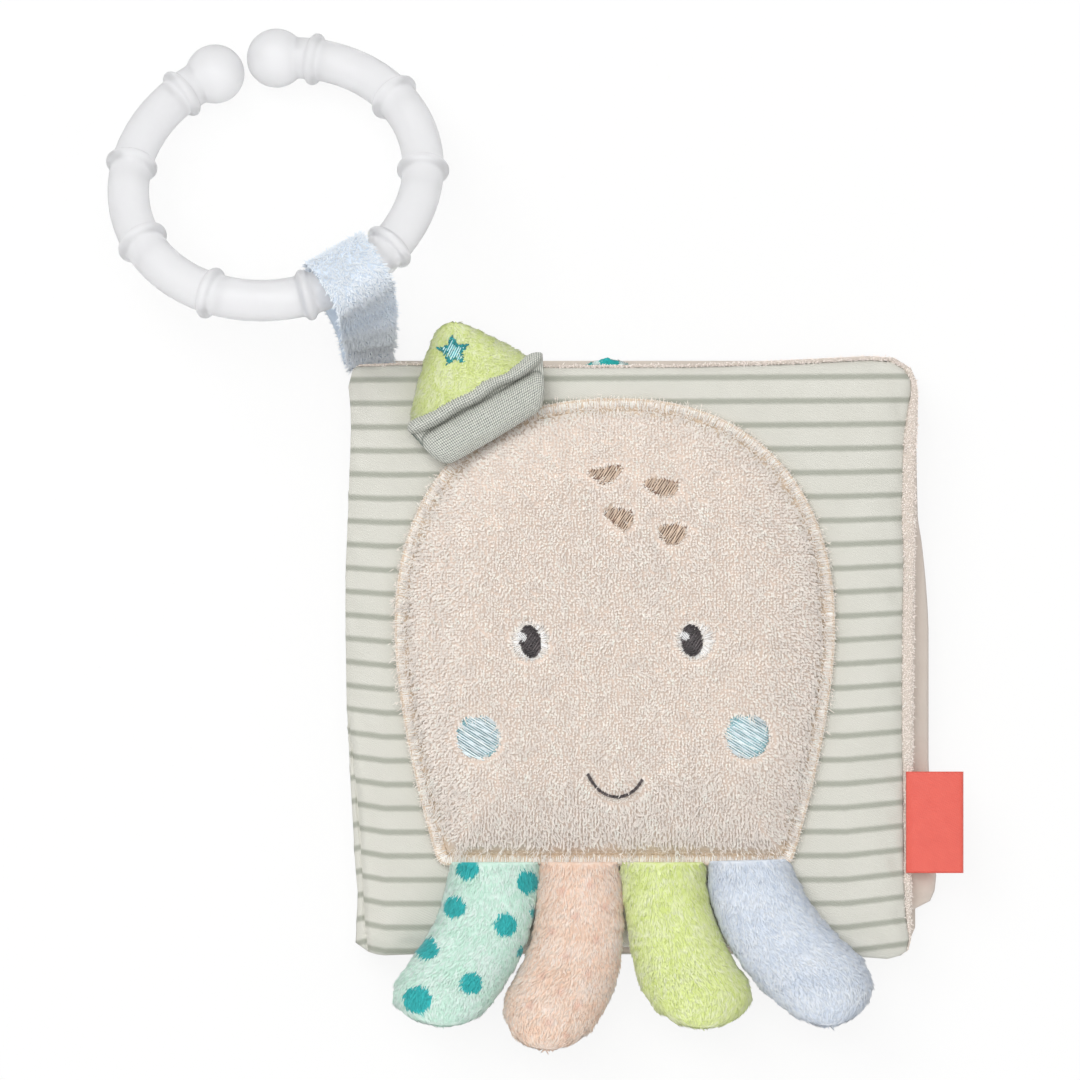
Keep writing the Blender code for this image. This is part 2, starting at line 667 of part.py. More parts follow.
def drooped(rings):
    """An arm's rings, lowered where they hang past the cover's lower edge."""
    for ring in rings:
        for point in ring:
            past = max(COVER_BOTTOM_Y - point.y, 0.0) / ARM_TIP_RADIUS
            point.z -= ARM_DROOP * past**2 / (1.0 + past**2)
    return rings


def arm_pivot_place(root):
    """The middle of an arm's seam on the head's lower edge, on top of its flat root."""
    return Vector((root.x, root.y + LAYER_GAP, HEAD_BASE + ARM_ROOT_THICKNESS))


def arm_roots():
    """The middle and half width of each arm's root, side by side along the head's lower edge."""
    row = 2 * (head_half_width(0.0) - ARM_ROW_INSET) - ARM_GAP * (len(ARMS) - 1)
    left = ARM_ROW_SHIFT - HEAD_LEFT_OF_MIDDLE - row / 2 - ARM_GAP * (len(ARMS) - 1) / 2
    places = []
    for arm in ARMS:
        width = row * arm.root_share
        places.append((Vector((left + width / 2, HEAD_BOTTOM_Y - LAYER_GAP)), width / 2))
        left += width + ARM_GAP
    return places


def make_arm(arm, root, half_root, pivot):
    """One arm: a plush cover, open at its seam, and its filling."""
    tip = root + Vector((arm.sway, -arm.reach))
    bend = root + Vector((0.0, -arm.reach * arm.bend_share))
    path = curved_path(root, bend, tip)
    shares = [step / LIMB_STEPS for step in range(LIMB_STEPS + 1)]
    half_widths = [half_root + (ARM_TIP_RADIUS - half_root) * share**ARM_WIDENING for share in shares]
    half_thicknesses = [swell(ARM_ROOT_THICKNESS / 2, ARM_THICKNESS / 2, share) for share in shares]
    heights = [HEAD_BASE + thickness for thickness in half_thicknesses]
    outer = limb_rings(path, half_widths, half_thicknesses, heights)
    inner = limb_rings(path, half_widths, half_thicknesses, heights, PLUSH)
    inset = PLUSH + LAYER_GAP
    filling = limb_rings(path, half_widths, half_thicknesses, heights, inset, FILLING_SKIPPED_STEPS)
    lofted(f"arm_{arm.name}_cover", drooped(inner[::-1] + outer), arm.colour, pivot)
    lofted(f"arm_{arm.name}_filling", drooped(filling), WADDING, pivot)


# Hat


def hat_frame():
    """The matrix from the hat's own axes, X along the brim and Y to its tip, to the book's."""
    middle = Vector((-HAT_LEFT_OF_MIDDLE, HEAD_TOP_Y - HAT_BELOW_HEAD_TOP, FRONT_COVER_TOP + HAT_RISE))
    turn = Matrix.Rotation(BRIM_TURN, 4, "Z") @ Matrix.Rotation(BRIM_TILT, 4, "X")
    return Matrix.Translation(middle) @ turn


def hat_pivot_place():
    """The middle of the hat's seam, on the brim's edge over the head."""
    return hat_frame() @ Vector((0.0, -BRIM_WIDTH / 2, BRIM_THICKNESS / 2))


def make_brim(pivot):
    """The brim: a band of linen with its upper edge rolled over, drawn in at its ends."""
    frame = hat_frame()
    rings = []
    for along, scale in BRIM_END_SHARES:
        x = BRIM_LENGTH / 2 * along
        rings.append([
            frame @ Vector((x, BRIM_WIDTH * across * scale, BRIM_THICKNESS / 2 * up * scale))
            for across, up in BRIM_PROFILE_SHARES
        ])
    lofted("hat_brim", rings, LINEN, pivot)


def make_crown(pivot):
    """The plush crown, its filling and the thread star on it."""
    root = Vector((0.0, BRIM_WIDTH / 2 + LAYER_GAP))
    tip = root + Vector((CROWN_REACH * CROWN_LEAN_SHARE, CROWN_REACH))
    path = curved_path(root, root + Vector((0.0, CROWN_REACH / 2)), tip)
    shares = [step / LIMB_STEPS for step in range(LIMB_STEPS + 1)]
    half_widths = [
        CROWN_ROOT_WIDTH / 2 + (CROWN_TIP_RADIUS - CROWN_ROOT_WIDTH / 2) * share**CROWN_TAPER
        for share in shares
    ]
    half_thicknesses = [CROWN_THICKNESS / 2 * (1.0 - CROWN_THINNING_SHARE * share**2) for share in shares]
    heights = [0.0] * len(shares)
    frame = hat_frame()
    outer = limb_rings(path, half_widths, half_thicknesses, heights)
    inner = limb_rings(path, half_widths, half_thicknesses, heights, PLUSH)
    filling = limb_rings(path, half_widths, half_thicknesses, heights, PLUSH + LAYER_GAP, 1)
    lofted("hat_crown", [[frame @ p for p in ring] for ring in inner[::-1] + outer], LIME, pivot)
    lofted("hat_filling", [[frame @ p for p in ring] for ring in filling], WADDING, pivot)
    middle = root.lerp(tip, STAR_PLACE_SHARE)
    low = CROWN_THICKNESS / 2 + LAYER_GAP
    outline = []
    for step in range(2 * STAR_POINTS):
        radius = STAR_RADIUS * (1.0 if step % 2 == 0 else STAR_WAIST_SHARE)
        angle = pi / 2 + pi * step / STAR_POINTS
        outline.append(middle + Vector((radius * cos(angle), radius * sin(angle))))
    rings = [level(outline, low), level(outline, low + THREAD_PAD)]
    lofted("hat_star", [[frame @ p for p in ring] for ring in rings], TEAL_THREAD, pivot)


# Clip ring and its strap


def ring_axes():
    """The ring's middle, its long axis, the axis down its slope, and half the angle between the balls."""
    long_axis = Vector((cos(RING_TURN), sin(RING_TURN), 0.0))
    level_slope = Vector((-sin(RING_TURN), cos(RING_TURN), 0.0))
    slope = level_slope * cos(RING_TILT) + Vector((0.0, 0.0, -sin(RING_TILT)))
    ball_half_angle = asin((BALL_DIAMETER + BALL_GAP) / 2 / RING_RADIUS)
    lowest = RING_RADIUS * sin(RING_MOUTH - ball_half_angle) * sin(RING_TILT) + BALL_DIAMETER / 2
    middle = Vector((-RING_LEFT_OF_MIDDLE, COVER_TOP_Y + RING_ABOVE_TOP, lowest))
    return middle, long_axis, slope, ball_half_angle


def ring_place(angle):
    """The place and direction of the ring's middle line at an angle from its long axis."""
    middle, long_axis, slope, _ = ring_axes()
    place = middle + RING_RADIUS * (cos(angle) * long_axis + sin(angle) * slope)
    return place, cos(angle) * slope - sin(angle) * long_axis


def ring_stations():
    """Angles and radii along the ring: a ball, a run of ribs, and the other ball."""
    ball_half_angle = ring_axes()[3]
    ball, tube, rib = BALL_DIAMETER / 2, RING_TUBE / 2, RIB_DIAMETER / 2
    start = RING_MOUTH + ball_half_angle
    end = RING_MOUTH + 2 * pi - ball_half_angle
    ball_reach = sqrt(ball**2 - tube**2) / RING_RADIUS
    rib_reach = RIB_WIDTH / 2 / RING_RADIUS
    stations = [
        (start + ball / RING_RADIUS * across, ball * sqrt(1.0 - across**2))
        for across in BALL_STEP_SHARES
    ]
    stations.append((start + ball_reach, tube))
    first_rib = start + ball_reach + END_SPAN_SHARE * rib_reach
    last_rib = end - ball_reach - END_SPAN_SHARE * rib_reach
    pitch = (last_rib - first_rib) / (RIB_COUNT - 1)
    for number in range(RIB_COUNT):
        middle = first_rib + pitch * number
        stations += [(middle + rib_reach * across, tube + (rib - tube) * up) for across, up in RIB_SHARES]
        if number < RIB_COUNT - 1:
            stations += [(middle + pitch * share, tube) for share in SPAN_STEP_SHARES]
    stations.append((end - ball_reach, tube))
    stations += [
        (end - ball / RING_RADIUS * across, ball * sqrt(1.0 - across**2))
        for across in reversed(BALL_STEP_SHARES)
    ]
    return stations


def make_ring(pivot):
    """The clip ring: a round tube bent to a C, with ribs along it and a ball on each end."""
    middle = ring_axes()[0]
    rings = []
    for angle, radius in ring_stations():
        place, run = ring_place(angle)
        outwards = (place - middle).normalized()
        upwards = run.cross(outwards)
        rings.append([
            place + radius * (cos(a) * outwards + sin(a) * upwards)
            for a in (2 * pi * side / RING_SIDES for side in range(RING_SIDES))
        ])
    lofted("clip_ring", rings, CLEAR, pivot)


def strap_foot():
    """The middle of the strap's foot, at the back cover's seam."""
    return Vector((
        COVER_LEFT + STRAP_FOOT_RIGHT_OF_EDGE,
        COVER_TOP_Y + LINING_MARGIN_TOP + LAYER_GAP + STRAP_THICKNESS,
        BACK_SEAM,
    ))


def make_strap(pivot):
    """The plush strap: one ribbon up from the seam, round the ring's tube and down again."""
    hold, ring_run = ring_place(STRAP_ANGLE)
    foot = strap_foot()
    down = foot - hold
    length = down.length
    down = down.normalized()
    side_way = ring_run.cross(down).normalized()
    loop_radius = RING_TUBE / 2 + STRAP_CLEARANCE + STRAP_THICKNESS / 2
    apart = (STRAP_THICKNESS + LAYER_GAP) / 2
    tail = []
    for step in range(STRAP_TAIL_STEPS):
        along = length * (1.0 - step / STRAP_TAIL_STEPS)
        near = min(along / STRAP_PINCH, 1.0)
        tail.append((along, apart + (loop_radius - apart) * (1.0 - near * near * (3.0 - 2.0 * near))))
    arc = [
        (loop_radius * cos(a), loop_radius * sin(a))
        for a in (pi / 2 + pi * step / STRAP_ARC_STEPS for step in range(STRAP_ARC_STEPS + 1))
    ]
    path = tail + arc + [(along, -aside) for along, aside in reversed(tail)]
    middles = [hold + down * along + side_way * aside for along, aside in path]
    rings = []
    for i, (along, _) in enumerate(path):
        before, after = middles[max(i - 1, 0)], middles[min(i + 1, len(middles) - 1)]
        run = (after - before).normalized()
        near_foot = min(max(along / length, 0.0), 1.0)
        across = ring_run.lerp(Vector((1.0, 0.0, 0.0)), near_foot).normalized()
        across = (across - run * across.dot(run)).normalized()
        outwards = run.cross(across)
        half_width = (STRAP_WIDTH + (STRAP_FOOT_WIDTH - STRAP_WIDTH) * near_foot) / 2
        rings.append([
            middles[i] + across * half_width * wide + outwards * STRAP_THICKNESS / 2 * thick
            for wide, thick in STRAP_SECTION_SHARES
        ])
    lofted("strap_loop", rings, BLUE, pivot)


def make_book():
    """Builds every piece, each on the empty of its moving body."""
    for old in list(bpy.data.objects):
        bpy.data.objects.remove(old)
    page = joint_empty("page_turn", Vector((HINGE_X, 0.0, PAGE_HINGE_Z)))
    cover = joint_empty("cover_open", Vector((HINGE_X, 0.0, FRONT_SEAM)))
    tab = joint_empty("tab_bend", Vector((-TAB_LEFT_OF_MIDDLE, PAGE_TOP_Y + LAYER_GAP, PAGE_SEAM)))
    label_place = Vector((COVER_RIGHT + LAYER_GAP, -LABEL_BELOW_MIDDLE, FRONT_SEAM + LAYER_GAP + LABEL_TAPE))
    label = joint_empty("label_bend", label_place)
    hat = joint_empty("hat_lift", hat_pivot_place())
    strap = joint_empty("strap_bend", strap_foot())
    ring = joint_empty("ring_swing", ring_place(STRAP_ANGLE)[0])
    make_back_cover()
    make_page(page)
    make_tab(tab)
    make_front_cover(cover)
    make_spine(page, cover)
    make_label(label)
    make_head(cover)
    for pad in PADS:
        make_pad(pad, cover)
    make_mouth(cover)
    for arm, (root, half_root) in zip(ARMS, arm_roots()):
        pivot = joint_empty(f"arm_{arm.name}_lift", arm_pivot_place(root))
        make_arm(arm, root, half_root, pivot)
    make_brim(hat)
    make_crown(hat)
    make_ring(ring)
    make_strap(strap)


make_book()
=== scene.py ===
"""Crinkle cloth book with a stuffed sea creature: sewn cloths, pile, thread, a label, a strap and a ring.

Lengths in the classes are millimetres, as a maker would note them, and become metres when a mesh is made.
The book lies on its back cover, +Z is up, +Y is the top of the page and the spine is at -X.
"""

import logging
import math
from dataclasses import dataclass, field
from enum import Enum

import bpy
import numpy as np
from mathutils import Matrix, Vector


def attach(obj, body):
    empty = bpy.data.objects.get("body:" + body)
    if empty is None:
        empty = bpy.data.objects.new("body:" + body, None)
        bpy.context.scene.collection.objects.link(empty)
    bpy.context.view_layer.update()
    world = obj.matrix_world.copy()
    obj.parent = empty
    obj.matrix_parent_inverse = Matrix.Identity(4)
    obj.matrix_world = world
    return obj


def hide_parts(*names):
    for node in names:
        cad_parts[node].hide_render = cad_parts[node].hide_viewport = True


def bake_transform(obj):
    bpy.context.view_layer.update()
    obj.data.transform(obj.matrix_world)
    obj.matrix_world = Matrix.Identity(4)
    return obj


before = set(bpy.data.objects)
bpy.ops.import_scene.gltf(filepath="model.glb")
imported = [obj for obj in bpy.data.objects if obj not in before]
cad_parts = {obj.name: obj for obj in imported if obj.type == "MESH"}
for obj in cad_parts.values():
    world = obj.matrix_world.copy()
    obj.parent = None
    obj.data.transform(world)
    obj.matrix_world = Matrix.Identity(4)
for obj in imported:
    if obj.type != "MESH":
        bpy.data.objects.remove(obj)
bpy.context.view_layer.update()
MM = 0.001
TURN = 2 * math.pi
# the angle between leaves on a stem, which spreads hairs evenly
GOLDEN_TURN = 2.39996
# a strand is two rings of three points and a tip
STRAND_POINTS = 7
NO_SKIN = np.zeros((0, 3))
LOG = logging.getLogger("cloth_book")
Array = np.ndarray
Path = tuple[tuple[float, float], ...]
Sides = tuple[Path, Path, Path, Path]
Piece = bpy.types.Object
Finish = bpy.types.Material
Socket = bpy.types.Node | bpy.types.NodeSocket


class Facing(Enum):
    """The way a leaf's cloth looks."""

    UP = 1.0
    DOWN = -1.0


# ---------------------------------------------------------------- colours and nodes


def linear(code: str) -> tuple[float, float, float, float]:
    """Turn an sRGB hex colour to linear.

    Args:
        code: The colour as "#RRGGBB".

    Returns:
        Red, green, blue and alpha, linear.
    """
    parts = [int(code[i : i + 2], 16) / 255 for i in (1, 3, 5)]
    shades = [p / 12.92 if p <= 0.04045 else ((p + 0.055) / 1.055) ** 2.4 for p in parts]
    return (*shades, 1.0)


def rgb(code: str) -> Array:
    """Turn an sRGB hex colour to three linear numbers."""
    return np.array(linear(code)[:3])


def add_node(tree: bpy.types.NodeTree, kind: str, values: dict[str | int, object] | None = None) -> bpy.types.Node:
    """Add one shader node with its settings and links.

    Args:
        tree: The material's or world's node tree.
        kind: The node's type, without the words ShaderNode.
        values: Settings by name, and for each input by name or number its value, or the node or socket that feeds it.

    Returns:
        The new node.
    """
    made = tree.nodes.new("ShaderNode" + kind)
    for name, value in (values or {}).items():
        if isinstance(name, str) and hasattr(made, name):
            setattr(made, name, value)
        elif isinstance(value, (bpy.types.Node, bpy.types.NodeSocket)):
            source = value.outputs[0] if isinstance(value, bpy.types.Node) else value
            tree.links.new(source, made.inputs[name])
        else:
            made.inputs[name].default_value = value
    return made


def new_material(name: str) -> tuple[Finish, bpy.types.NodeTree]:
    """Start an empty node material.

    Args:
        name: The real material's name.

    Returns:
        The material and its tree.
    """
    made = bpy.data.materials.new(name)
    made.use_nodes = True
    made.node_tree.nodes.clear()
    return made, made.node_tree


def close_material(
    tree: bpy.types.NodeTree, colour: Socket, settings: dict[str, object], height: Socket | None = None,
    strength: float = 0.0, depth: float = 0.0,
) -> None:
    """Give a material its surface, with a relief where it has one.

    Args:
        tree: The material's tree.
        colour: What feeds the base colour.
        settings: The surface's other values.
        height: What feeds the relief.
        strength: The relief's strength.
        depth: The relief's depth in millimetres.
    """
    values = {**settings, "Base Color": colour}
    if height is not None:
        values["Normal"] = add_node(tree, "Bump", {"Strength": strength, "Distance": depth * MM, "Height": height})
    add_node(tree, "OutputMaterial", {"Surface": add_node(tree, "BsdfPrincipled", values)})


def cloudy(
    tree: bpy.types.NodeTree, place: Socket, scale: float, detail: float, tones: tuple[str, str]
) -> tuple[Socket, Socket]:
    """Let a colour wander between two tones.

    Args:
        tree: The material's tree.
        place: What feeds the pattern's place.
        scale: The pattern's scale.
        detail: How much finer grain it has.
        tones: Both colours.

    Returns:
        The colour, and the share it wanders by.
    """
    share = add_node(tree, "TexNoise", {"Scale": scale, "Detail": detail, "Vector": place})
    first, second = map(linear, tones)
    return add_node(tree, "Mix", {"data_type": "RGBA", 0: share, 6: first, 7: second}).outputs[2], share


def cloth_places(tree: bpy.types.NodeTree) -> tuple[Socket, Socket, Socket]:
    """Read the UV map "cloth".

    Args:
        tree: The material's tree.

    Returns:
        The map, and its two numbers.
    """
    cloth = add_node(tree, "UVMap", {"uv_map": "cloth"})
    split = add_node(tree, "SeparateXYZ", {0: cloth})
    return cloth, split.outputs["X"], split.outputs["Y"]


def object_places(tree: bpy.types.NodeTree) -> Socket:
    """Read the piece's own coordinates."""
    return add_node(tree, "TexCoord").outputs["Object"]


def yarns(tree: bpy.types.NodeTree, across: Socket, along: Socket, slant: float, spacing: float) -> Socket:
    """Draw evenly spaced yarns as a wave.

    Args:
        tree: The material's tree.
        across: Millimetres across the yarns.
        along: Millimetres along them.
        slant: How far they step aside for each millimetre along.
        spacing: The distance between yarns in millimetres.

    Returns:
        The wave, from -1 to 1.
    """
    lean = add_node(tree, "Math", {"operation": "MULTIPLY_ADD", 0: along, 1: slant, 2: across})
    beat = add_node(tree, "Math", {"operation": "MULTIPLY", 0: lean, 1: TURN / spacing})
    return add_node(tree, "Math", {"operation": "SINE", 0: beat})


@dataclass(frozen=True)
class StripedSateen:
    """Cotton sateen with yarn-dyed stripes, soft sage with grey green bands and a faint diagonal rib."""

    tones: tuple[str, str] = ("#DDDCD3", "#D3D2C8")
    stripe: str = "#AAACA0"
    stripe_width: float = 1.2
    pitch: float = 4.65
    rib: float = 0.55

    def build(self) -> Finish:
        """Make the material, whose UV holds millimetres across and the stripe count along.

        Returns:
            The material.
        """
        made, tree = new_material("striped_cotton_sateen")
        _, across, count = cloth_places(tree)
        place = object_places(tree)
        # the stripe's edge wanders slowly, as yarns lie
        wander = add_node(tree, "TexNoise", {"Scale": 900.0, "Detail": 2.0, "Vector": place})
        nudge = add_node(tree, "Math", {"operation": "MULTIPLY_ADD", 0: wander, 1: 0.05, 2: 0.475})
        shifted = add_node(tree, "Math", {"operation": "ADD", 0: count, 1: nudge})
        part = add_node(tree, "Math", {"operation": "FRACT", 0: shifted})
        off = add_node(tree, "Math", {"operation": "SUBTRACT", 0: part, 1: 0.5})
        gap = add_node(tree, "Math", {"operation": "ABSOLUTE", 0: off})
        half = self.stripe_width / self.pitch / 2
        limits = {1: half * 0.3, 2: half * 1.55, 3: 1.0, 4: 0.0}
        band = add_node(tree, "MapRange", {"interpolation_type": "SMOOTHSTEP", 0: gap, **limits})
        # the sateen's diagonal rib, crossed by a finer slanting thread
        along = add_node(tree, "Math", {"operation": "MULTIPLY", 0: count, 1: self.pitch})
        wale, thread = yarns(tree, across, along, 1.35, self.rib), yarns(tree, across, along, -2.2, 2 * self.rib)
        rib = add_node(tree, "Math", {"operation": "MULTIPLY_ADD", 0: thread, 1: 0.6, 2: wale})
        ground, _ = cloudy(tree, place, 160.0, 3.0, self.tones)
        striped = add_node(tree, "Mix", {"data_type": "RGBA", 0: band, 6: ground, 7: linear(self.stripe)}).outputs[2]
        dim = add_node(tree, "Math", {"operation": "MULTIPLY_ADD", 0: rib, 1: 0.032, 2: 0.965})
        shaded = add_node(tree, "VectorMath", {"operation": "SCALE", 0: striped, "Scale": dim})
        look = {"Roughness": 0.62, "Sheen Weight": 0.12, "Sheen Roughness": 0.4, "Specular IOR Level": 0.3}
        close_material(tree, shaded, look, rib, 0.3, 0.06)
        return made


@dataclass(frozen=True)
class PlainCotton:
    """Combed plain cotton: matt, cream, with a fine thread grid."""

    name: str
    tones: tuple[str, str]
    thread: float = 0.5

    def build(self) -> Finish:
        """Make the material on Object coordinates.

        Returns:
            The material.
        """
        made, tree = new_material(self.name)
        place = object_places(tree)
        scale = TURN / (self.thread * MM) / 20
        wave = {"bands_direction": "DIAGONAL", "Scale": scale, "Distortion": 0.4, "Detail": 1.0, "Vector": place}
        tone, _ = cloudy(tree, place, 70.0, 4.0, self.tones)
        threads = add_node(tree, "TexWave", wave).outputs["Fac"]
        look = {"Roughness": 0.78, "Sheen Weight": 0.15, "Specular IOR Level": 0.25}
        close_material(tree, tone, look, threads, 0.2, 0.08)
        return made


@dataclass(frozen=True)
class Strands:
    """Polyester pile or thread, whose colour is carried strand by strand on the mesh."""

    name: str
    roughness: float
    sheen: float
    gloss: float

    def build(self) -> Finish:
        """Make the material, which reads the colour attribute "strand".

        Returns:
            The material.
        """
        made, tree = new_material(self.name)
        colour = add_node(tree, "Attribute", {"attribute_name": "strand"}).outputs["Color"]
        cloud = add_node(tree, "TexNoise", {"Scale": 220.0, "Detail": 3.0, "Vector": object_places(tree)})
        dim = add_node(tree, "Math", {"operation": "MULTIPLY_ADD", 0: cloud, 1: 0.08, 2: 0.96})
        shaded = add_node(tree, "VectorMath", {"operation": "SCALE", 0: colour, "Scale": dim})
        look = {"Roughness": self.roughness, "Sheen Weight": self.sheen}
        close_material(tree, shaded, {**look, "Sheen Roughness": 0.5, "Specular IOR Level": self.gloss})
        return made


@dataclass(frozen=True)
class Linen:
    """Grey green linen in a plain weave, its yarns uneven and drawn 0.5 mm apart, as coarse as they need to show."""

    yarn: str = "#EEEFE6"
    # the dark tone is painted shade in the gaps between the yarns
    dark: str = "#737A74"
    spacing: float = 0.5

    def build(self) -> Finish:
        """Make the material, whose UV holds millimetres along and across the band.

        Returns:
            The material.
        """
        made, tree = new_material("linen_plain_weave")
        cloth, x, y = cloth_places(tree)
        warp, weft = yarns(tree, x, y, 0.0, 2 * self.spacing), yarns(tree, y, x, 0.0, 2 * self.spacing)
        cross = add_node(tree, "Math", {"operation": "MULTIPLY", 0: warp, 1: weft})
        knot = add_node(tree, "Math", {"operation": "ABSOLUTE", 0: cross})
        fuzz = add_node(tree, "TexNoise", {"Scale": 1.6, "Detail": 4.0, "Vector": cloth})
        uneven = add_node(tree, "Math", {"operation": "MULTIPLY_ADD", 0: fuzz, 1: 0.5, 2: -0.05})
        height = add_node(tree, "Math", {"operation": "ADD", 0: knot, 1: uneven})
        # the low places between the yarns take the dark tone: painted shade in the gaps
        level = add_node(tree, "MapRange", {0: height, 1: 0.15, 2: 0.75, 3: 0.0, 4: 1.0})
        tones = {6: linear(self.dark), 7: linear(self.yarn)}
        tone = add_node(tree, "Mix", {"data_type": "RGBA", 0: level, **tones}).outputs[2]
        look = {"Roughness": 0.85, "Sheen Weight": 0.1, "Specular IOR Level": 0.2}
        close_material(tree, tone, look, height, 0.8, 0.25)
        return made


@dataclass(frozen=True)
class WovenTape:
    """Red polyester damask tape: a fine twill whose white warp shows as pale specks."""

    tones: tuple[str, str] = ("#D74E41", "#E35C4C")
    speck: str = "#F5A79C"

    def build(self) -> Finish:
        """Make the material, whose UV holds millimetres along and across the tape.

        Returns:
            The material.
        """
        made, tree = new_material("red_polyester_tape")
        cloth, x, y = cloth_places(tree)
        twill, weft = yarns(tree, x, y, 0.55, 0.46), yarns(tree, x, y, -2.2, 0.5)
        both = add_node(tree, "Math", {"operation": "MULTIPLY", 0: twill, 1: weft})
        specks = add_node(tree, "MapRange", {0: both, 1: 0.35, 2: 0.95, 3: 0.0, 4: 0.55})
        ground, _ = cloudy(tree, cloth, 0.4, 3.0, self.tones)
        tone = add_node(tree, "Mix", {"data_type": "RGBA", 0: specks, 6: ground, 7: linear(self.speck)}).outputs[2]
        look = {"Roughness": 0.5, "Sheen Weight": 0.1, "Specular IOR Level": 0.4}
        close_material(tree, tone, look, twill, 0.25, 0.06)
        return made


@dataclass(frozen=True)
class ClearPlastic:
    """Frosted polypropylene, injection moulded: milky, with a soft waxy gloss."""

    tones: tuple[str, str] = ("#F4F4F5", "#EFEFF1")

    def build(self) -> Finish:
        """Make the material with light passing through its walls.

        Returns:
            The material.
        """
        made, tree = new_material("frosted_polypropylene")
        tone, _ = cloudy(tree, object_places(tree), 60.0, 2.0, self.tones)
        look = {"Roughness": 0.4, "IOR": 1.4, "Transmission Weight": 0.6, "Subsurface Weight": 0.3}
        glow = {"Subsurface Radius": (1.0, 1.0, 1.0), "Subsurface Scale": 0.004}
        close_material(tree, tone, {**look, **glow})
        return made


@dataclass(frozen=True)
class HiddenLayer:
    """A layer inside a leaf: bonded polyester wadding, or thin crackling film, cloudy and crumpled."""

    name: str
    tones: tuple[str, str]
    roughness: float
    grain: float

    def build(self) -> Finish:
        """Make the material on Object coordinates.

        Returns:
            The material.
        """
        made, tree = new_material(self.name)
        tone, crumple = cloudy(tree, object_places(tree), 1 / (self.grain * MM), 4.0, self.tones)
        close_material(tree, tone, {"Roughness": self.roughness}, crumple, 0.4, 0.3)
        return made


# ---------------------------------------------------------------- meshes


def mesh_object(name: str, points: Array, faces: list[Array]) -> Piece:
    """Make a smooth mesh object from arrays.

    Args:
        name: The object's name.
        points: Places in millimetres, one row each.
        faces: Arrays of corner numbers, each with its own count of corners a face.

    Returns:
        The linked object.
    """
    faces = [np.asarray(f, np.int32) for f in faces if len(f)]
    corners = np.concatenate([f.ravel() for f in faces])
    counts = np.concatenate([np.full(len(f), f.shape[1], np.int32) for f in faces])
    starts = np.concatenate([[0], np.cumsum(counts)[:-1]]).astype(np.int32)
    mesh = bpy.data.meshes.new(name)
    mesh.vertices.add(len(points))
    mesh.vertices.foreach_set("co", (np.asarray(points, float) * MM).astype(np.float32).ravel())
    mesh.loops.add(len(corners))
    mesh.loops.foreach_set("vertex_index", corners)
    mesh.polygons.add(len(counts))
    mesh.polygons.foreach_set("loop_start", starts)
    mesh.update(calc_edges=True)
    mesh.shade_smooth()
    made = bpy.data.objects.new(name, mesh)
    bpy.context.scene.collection.objects.link(made)
    return made


def paint(piece: Piece, colours: Array) -> None:
    """Store one linear colour a point as the "strand" attribute.

    Args:
        piece: The mesh object.
        colours: Red, green and blue, one row for each point.
    """
    layer = piece.data.color_attributes.new("strand", "FLOAT_COLOR", "POINT")
    full = np.ones((len(colours), 4), np.float32)
    full[:, :3] = np.clip(colours, 0.0, 1.0)
    layer.data.foreach_set("color", full.ravel())


def read(items: bpy.types.bpy_prop_collection, name: str, wide: int = 1, kind: type = float) -> Array:
    """Read one property of all of a mesh's vertices, loops or faces.

    Args:
        items: The vertices, loops or faces.
        name: The property.
        wide: How many numbers each has.
        kind: Their type.

    Returns:
        One row for each item.
    """
    values = np.empty(len(items) * wide, kind)
    items.foreach_get(name, values)
    return values.reshape(-1, wide)


def lay_uv(piece: Piece, places: Array) -> None:
    """Store a UV map named "cloth".

    Args:
        piece: The mesh object.
        places: Two numbers for each point of the mesh, or for each face corner.
    """
    layer = piece.data.uv_layers.new(name="cloth")
    corners = read(piece.data.loops, "vertex_index", kind=np.int32)[:, 0]
    chosen = places if len(places) == len(corners) else places[corners]
    layer.data.foreach_set("uv", np.asarray(chosen, np.float32).ravel())


def make_active(piece: Piece) -> None:
    """Select one object alone, so that an operator acts on nothing else.

    Args:
        piece: The object.
    """
    bpy.ops.object.select_all(action="DESELECT")
    piece.select_set(True)
    bpy.context.view_layer.objects.active = piece


def apply_modifier(piece: Piece, kind: str, **settings: object) -> None:
    """Add one modifier and apply it.

    Args:
        piece: The object.
        kind: The modifier's type.
        settings: Its settings.
    """
    make_active(piece)
    added = piece.modifiers.new(kind.lower(), kind)
    for name, value in settings.items():
        setattr(added, name, value)
    bpy.ops.object.modifier_apply(modifier=added.name)


def finish_piece(
    piece: Piece, material: Finish, body: str, slot: str, *nodes: str
) -> Piece:
    """Dress a piece, put it on its body and let it stand for its CAD nodes.

    Args:
        piece: The finished object, in place.
        material: Its finish.
        body: The body that it moves with.
        slot: The record's material slot; not used.
        nodes: The CAD nodes that it replaces.

    Returns:
        The same object.
    """
    piece.data.materials.clear()
    piece.data.materials.append(material)
    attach(piece, body)
    if nodes:
        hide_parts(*nodes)
    LOG.info("%s: %d faces on %s", piece.name, len(piece.data.polygons), body)
    return piece


# ---------------------------------------------------------------- outlines


def lengths(vectors: Array) -> Array:
    """Measure vectors, one row each."""
    return np.linalg.norm(vectors, axis=1)


def unit(vectors: Array) -> Array:
    """Bring vectors to length one, one row each."""
    return vectors / np.maximum(np.linalg.norm(vectors, axis=-1, keepdims=True), 1e-9)


def travelled(line: Array) -> Array:
    """Measure how far along a line each of its points lies."""
    return np.concatenate([[0.0], np.cumsum(lengths(np.diff(line, axis=0)))])


def eased(values: Array) -> Array:
    """Draw each point of a closed line halfway to its neighbours."""
    return values * 0.5 + (np.roll(values, 1, 0) + np.roll(values, -1, 0)) * 0.25


def smooth(share: Array) -> Array:
    """Ease a share from 0 to 1 in and out."""
    return share * share * (3 - 2 * share)


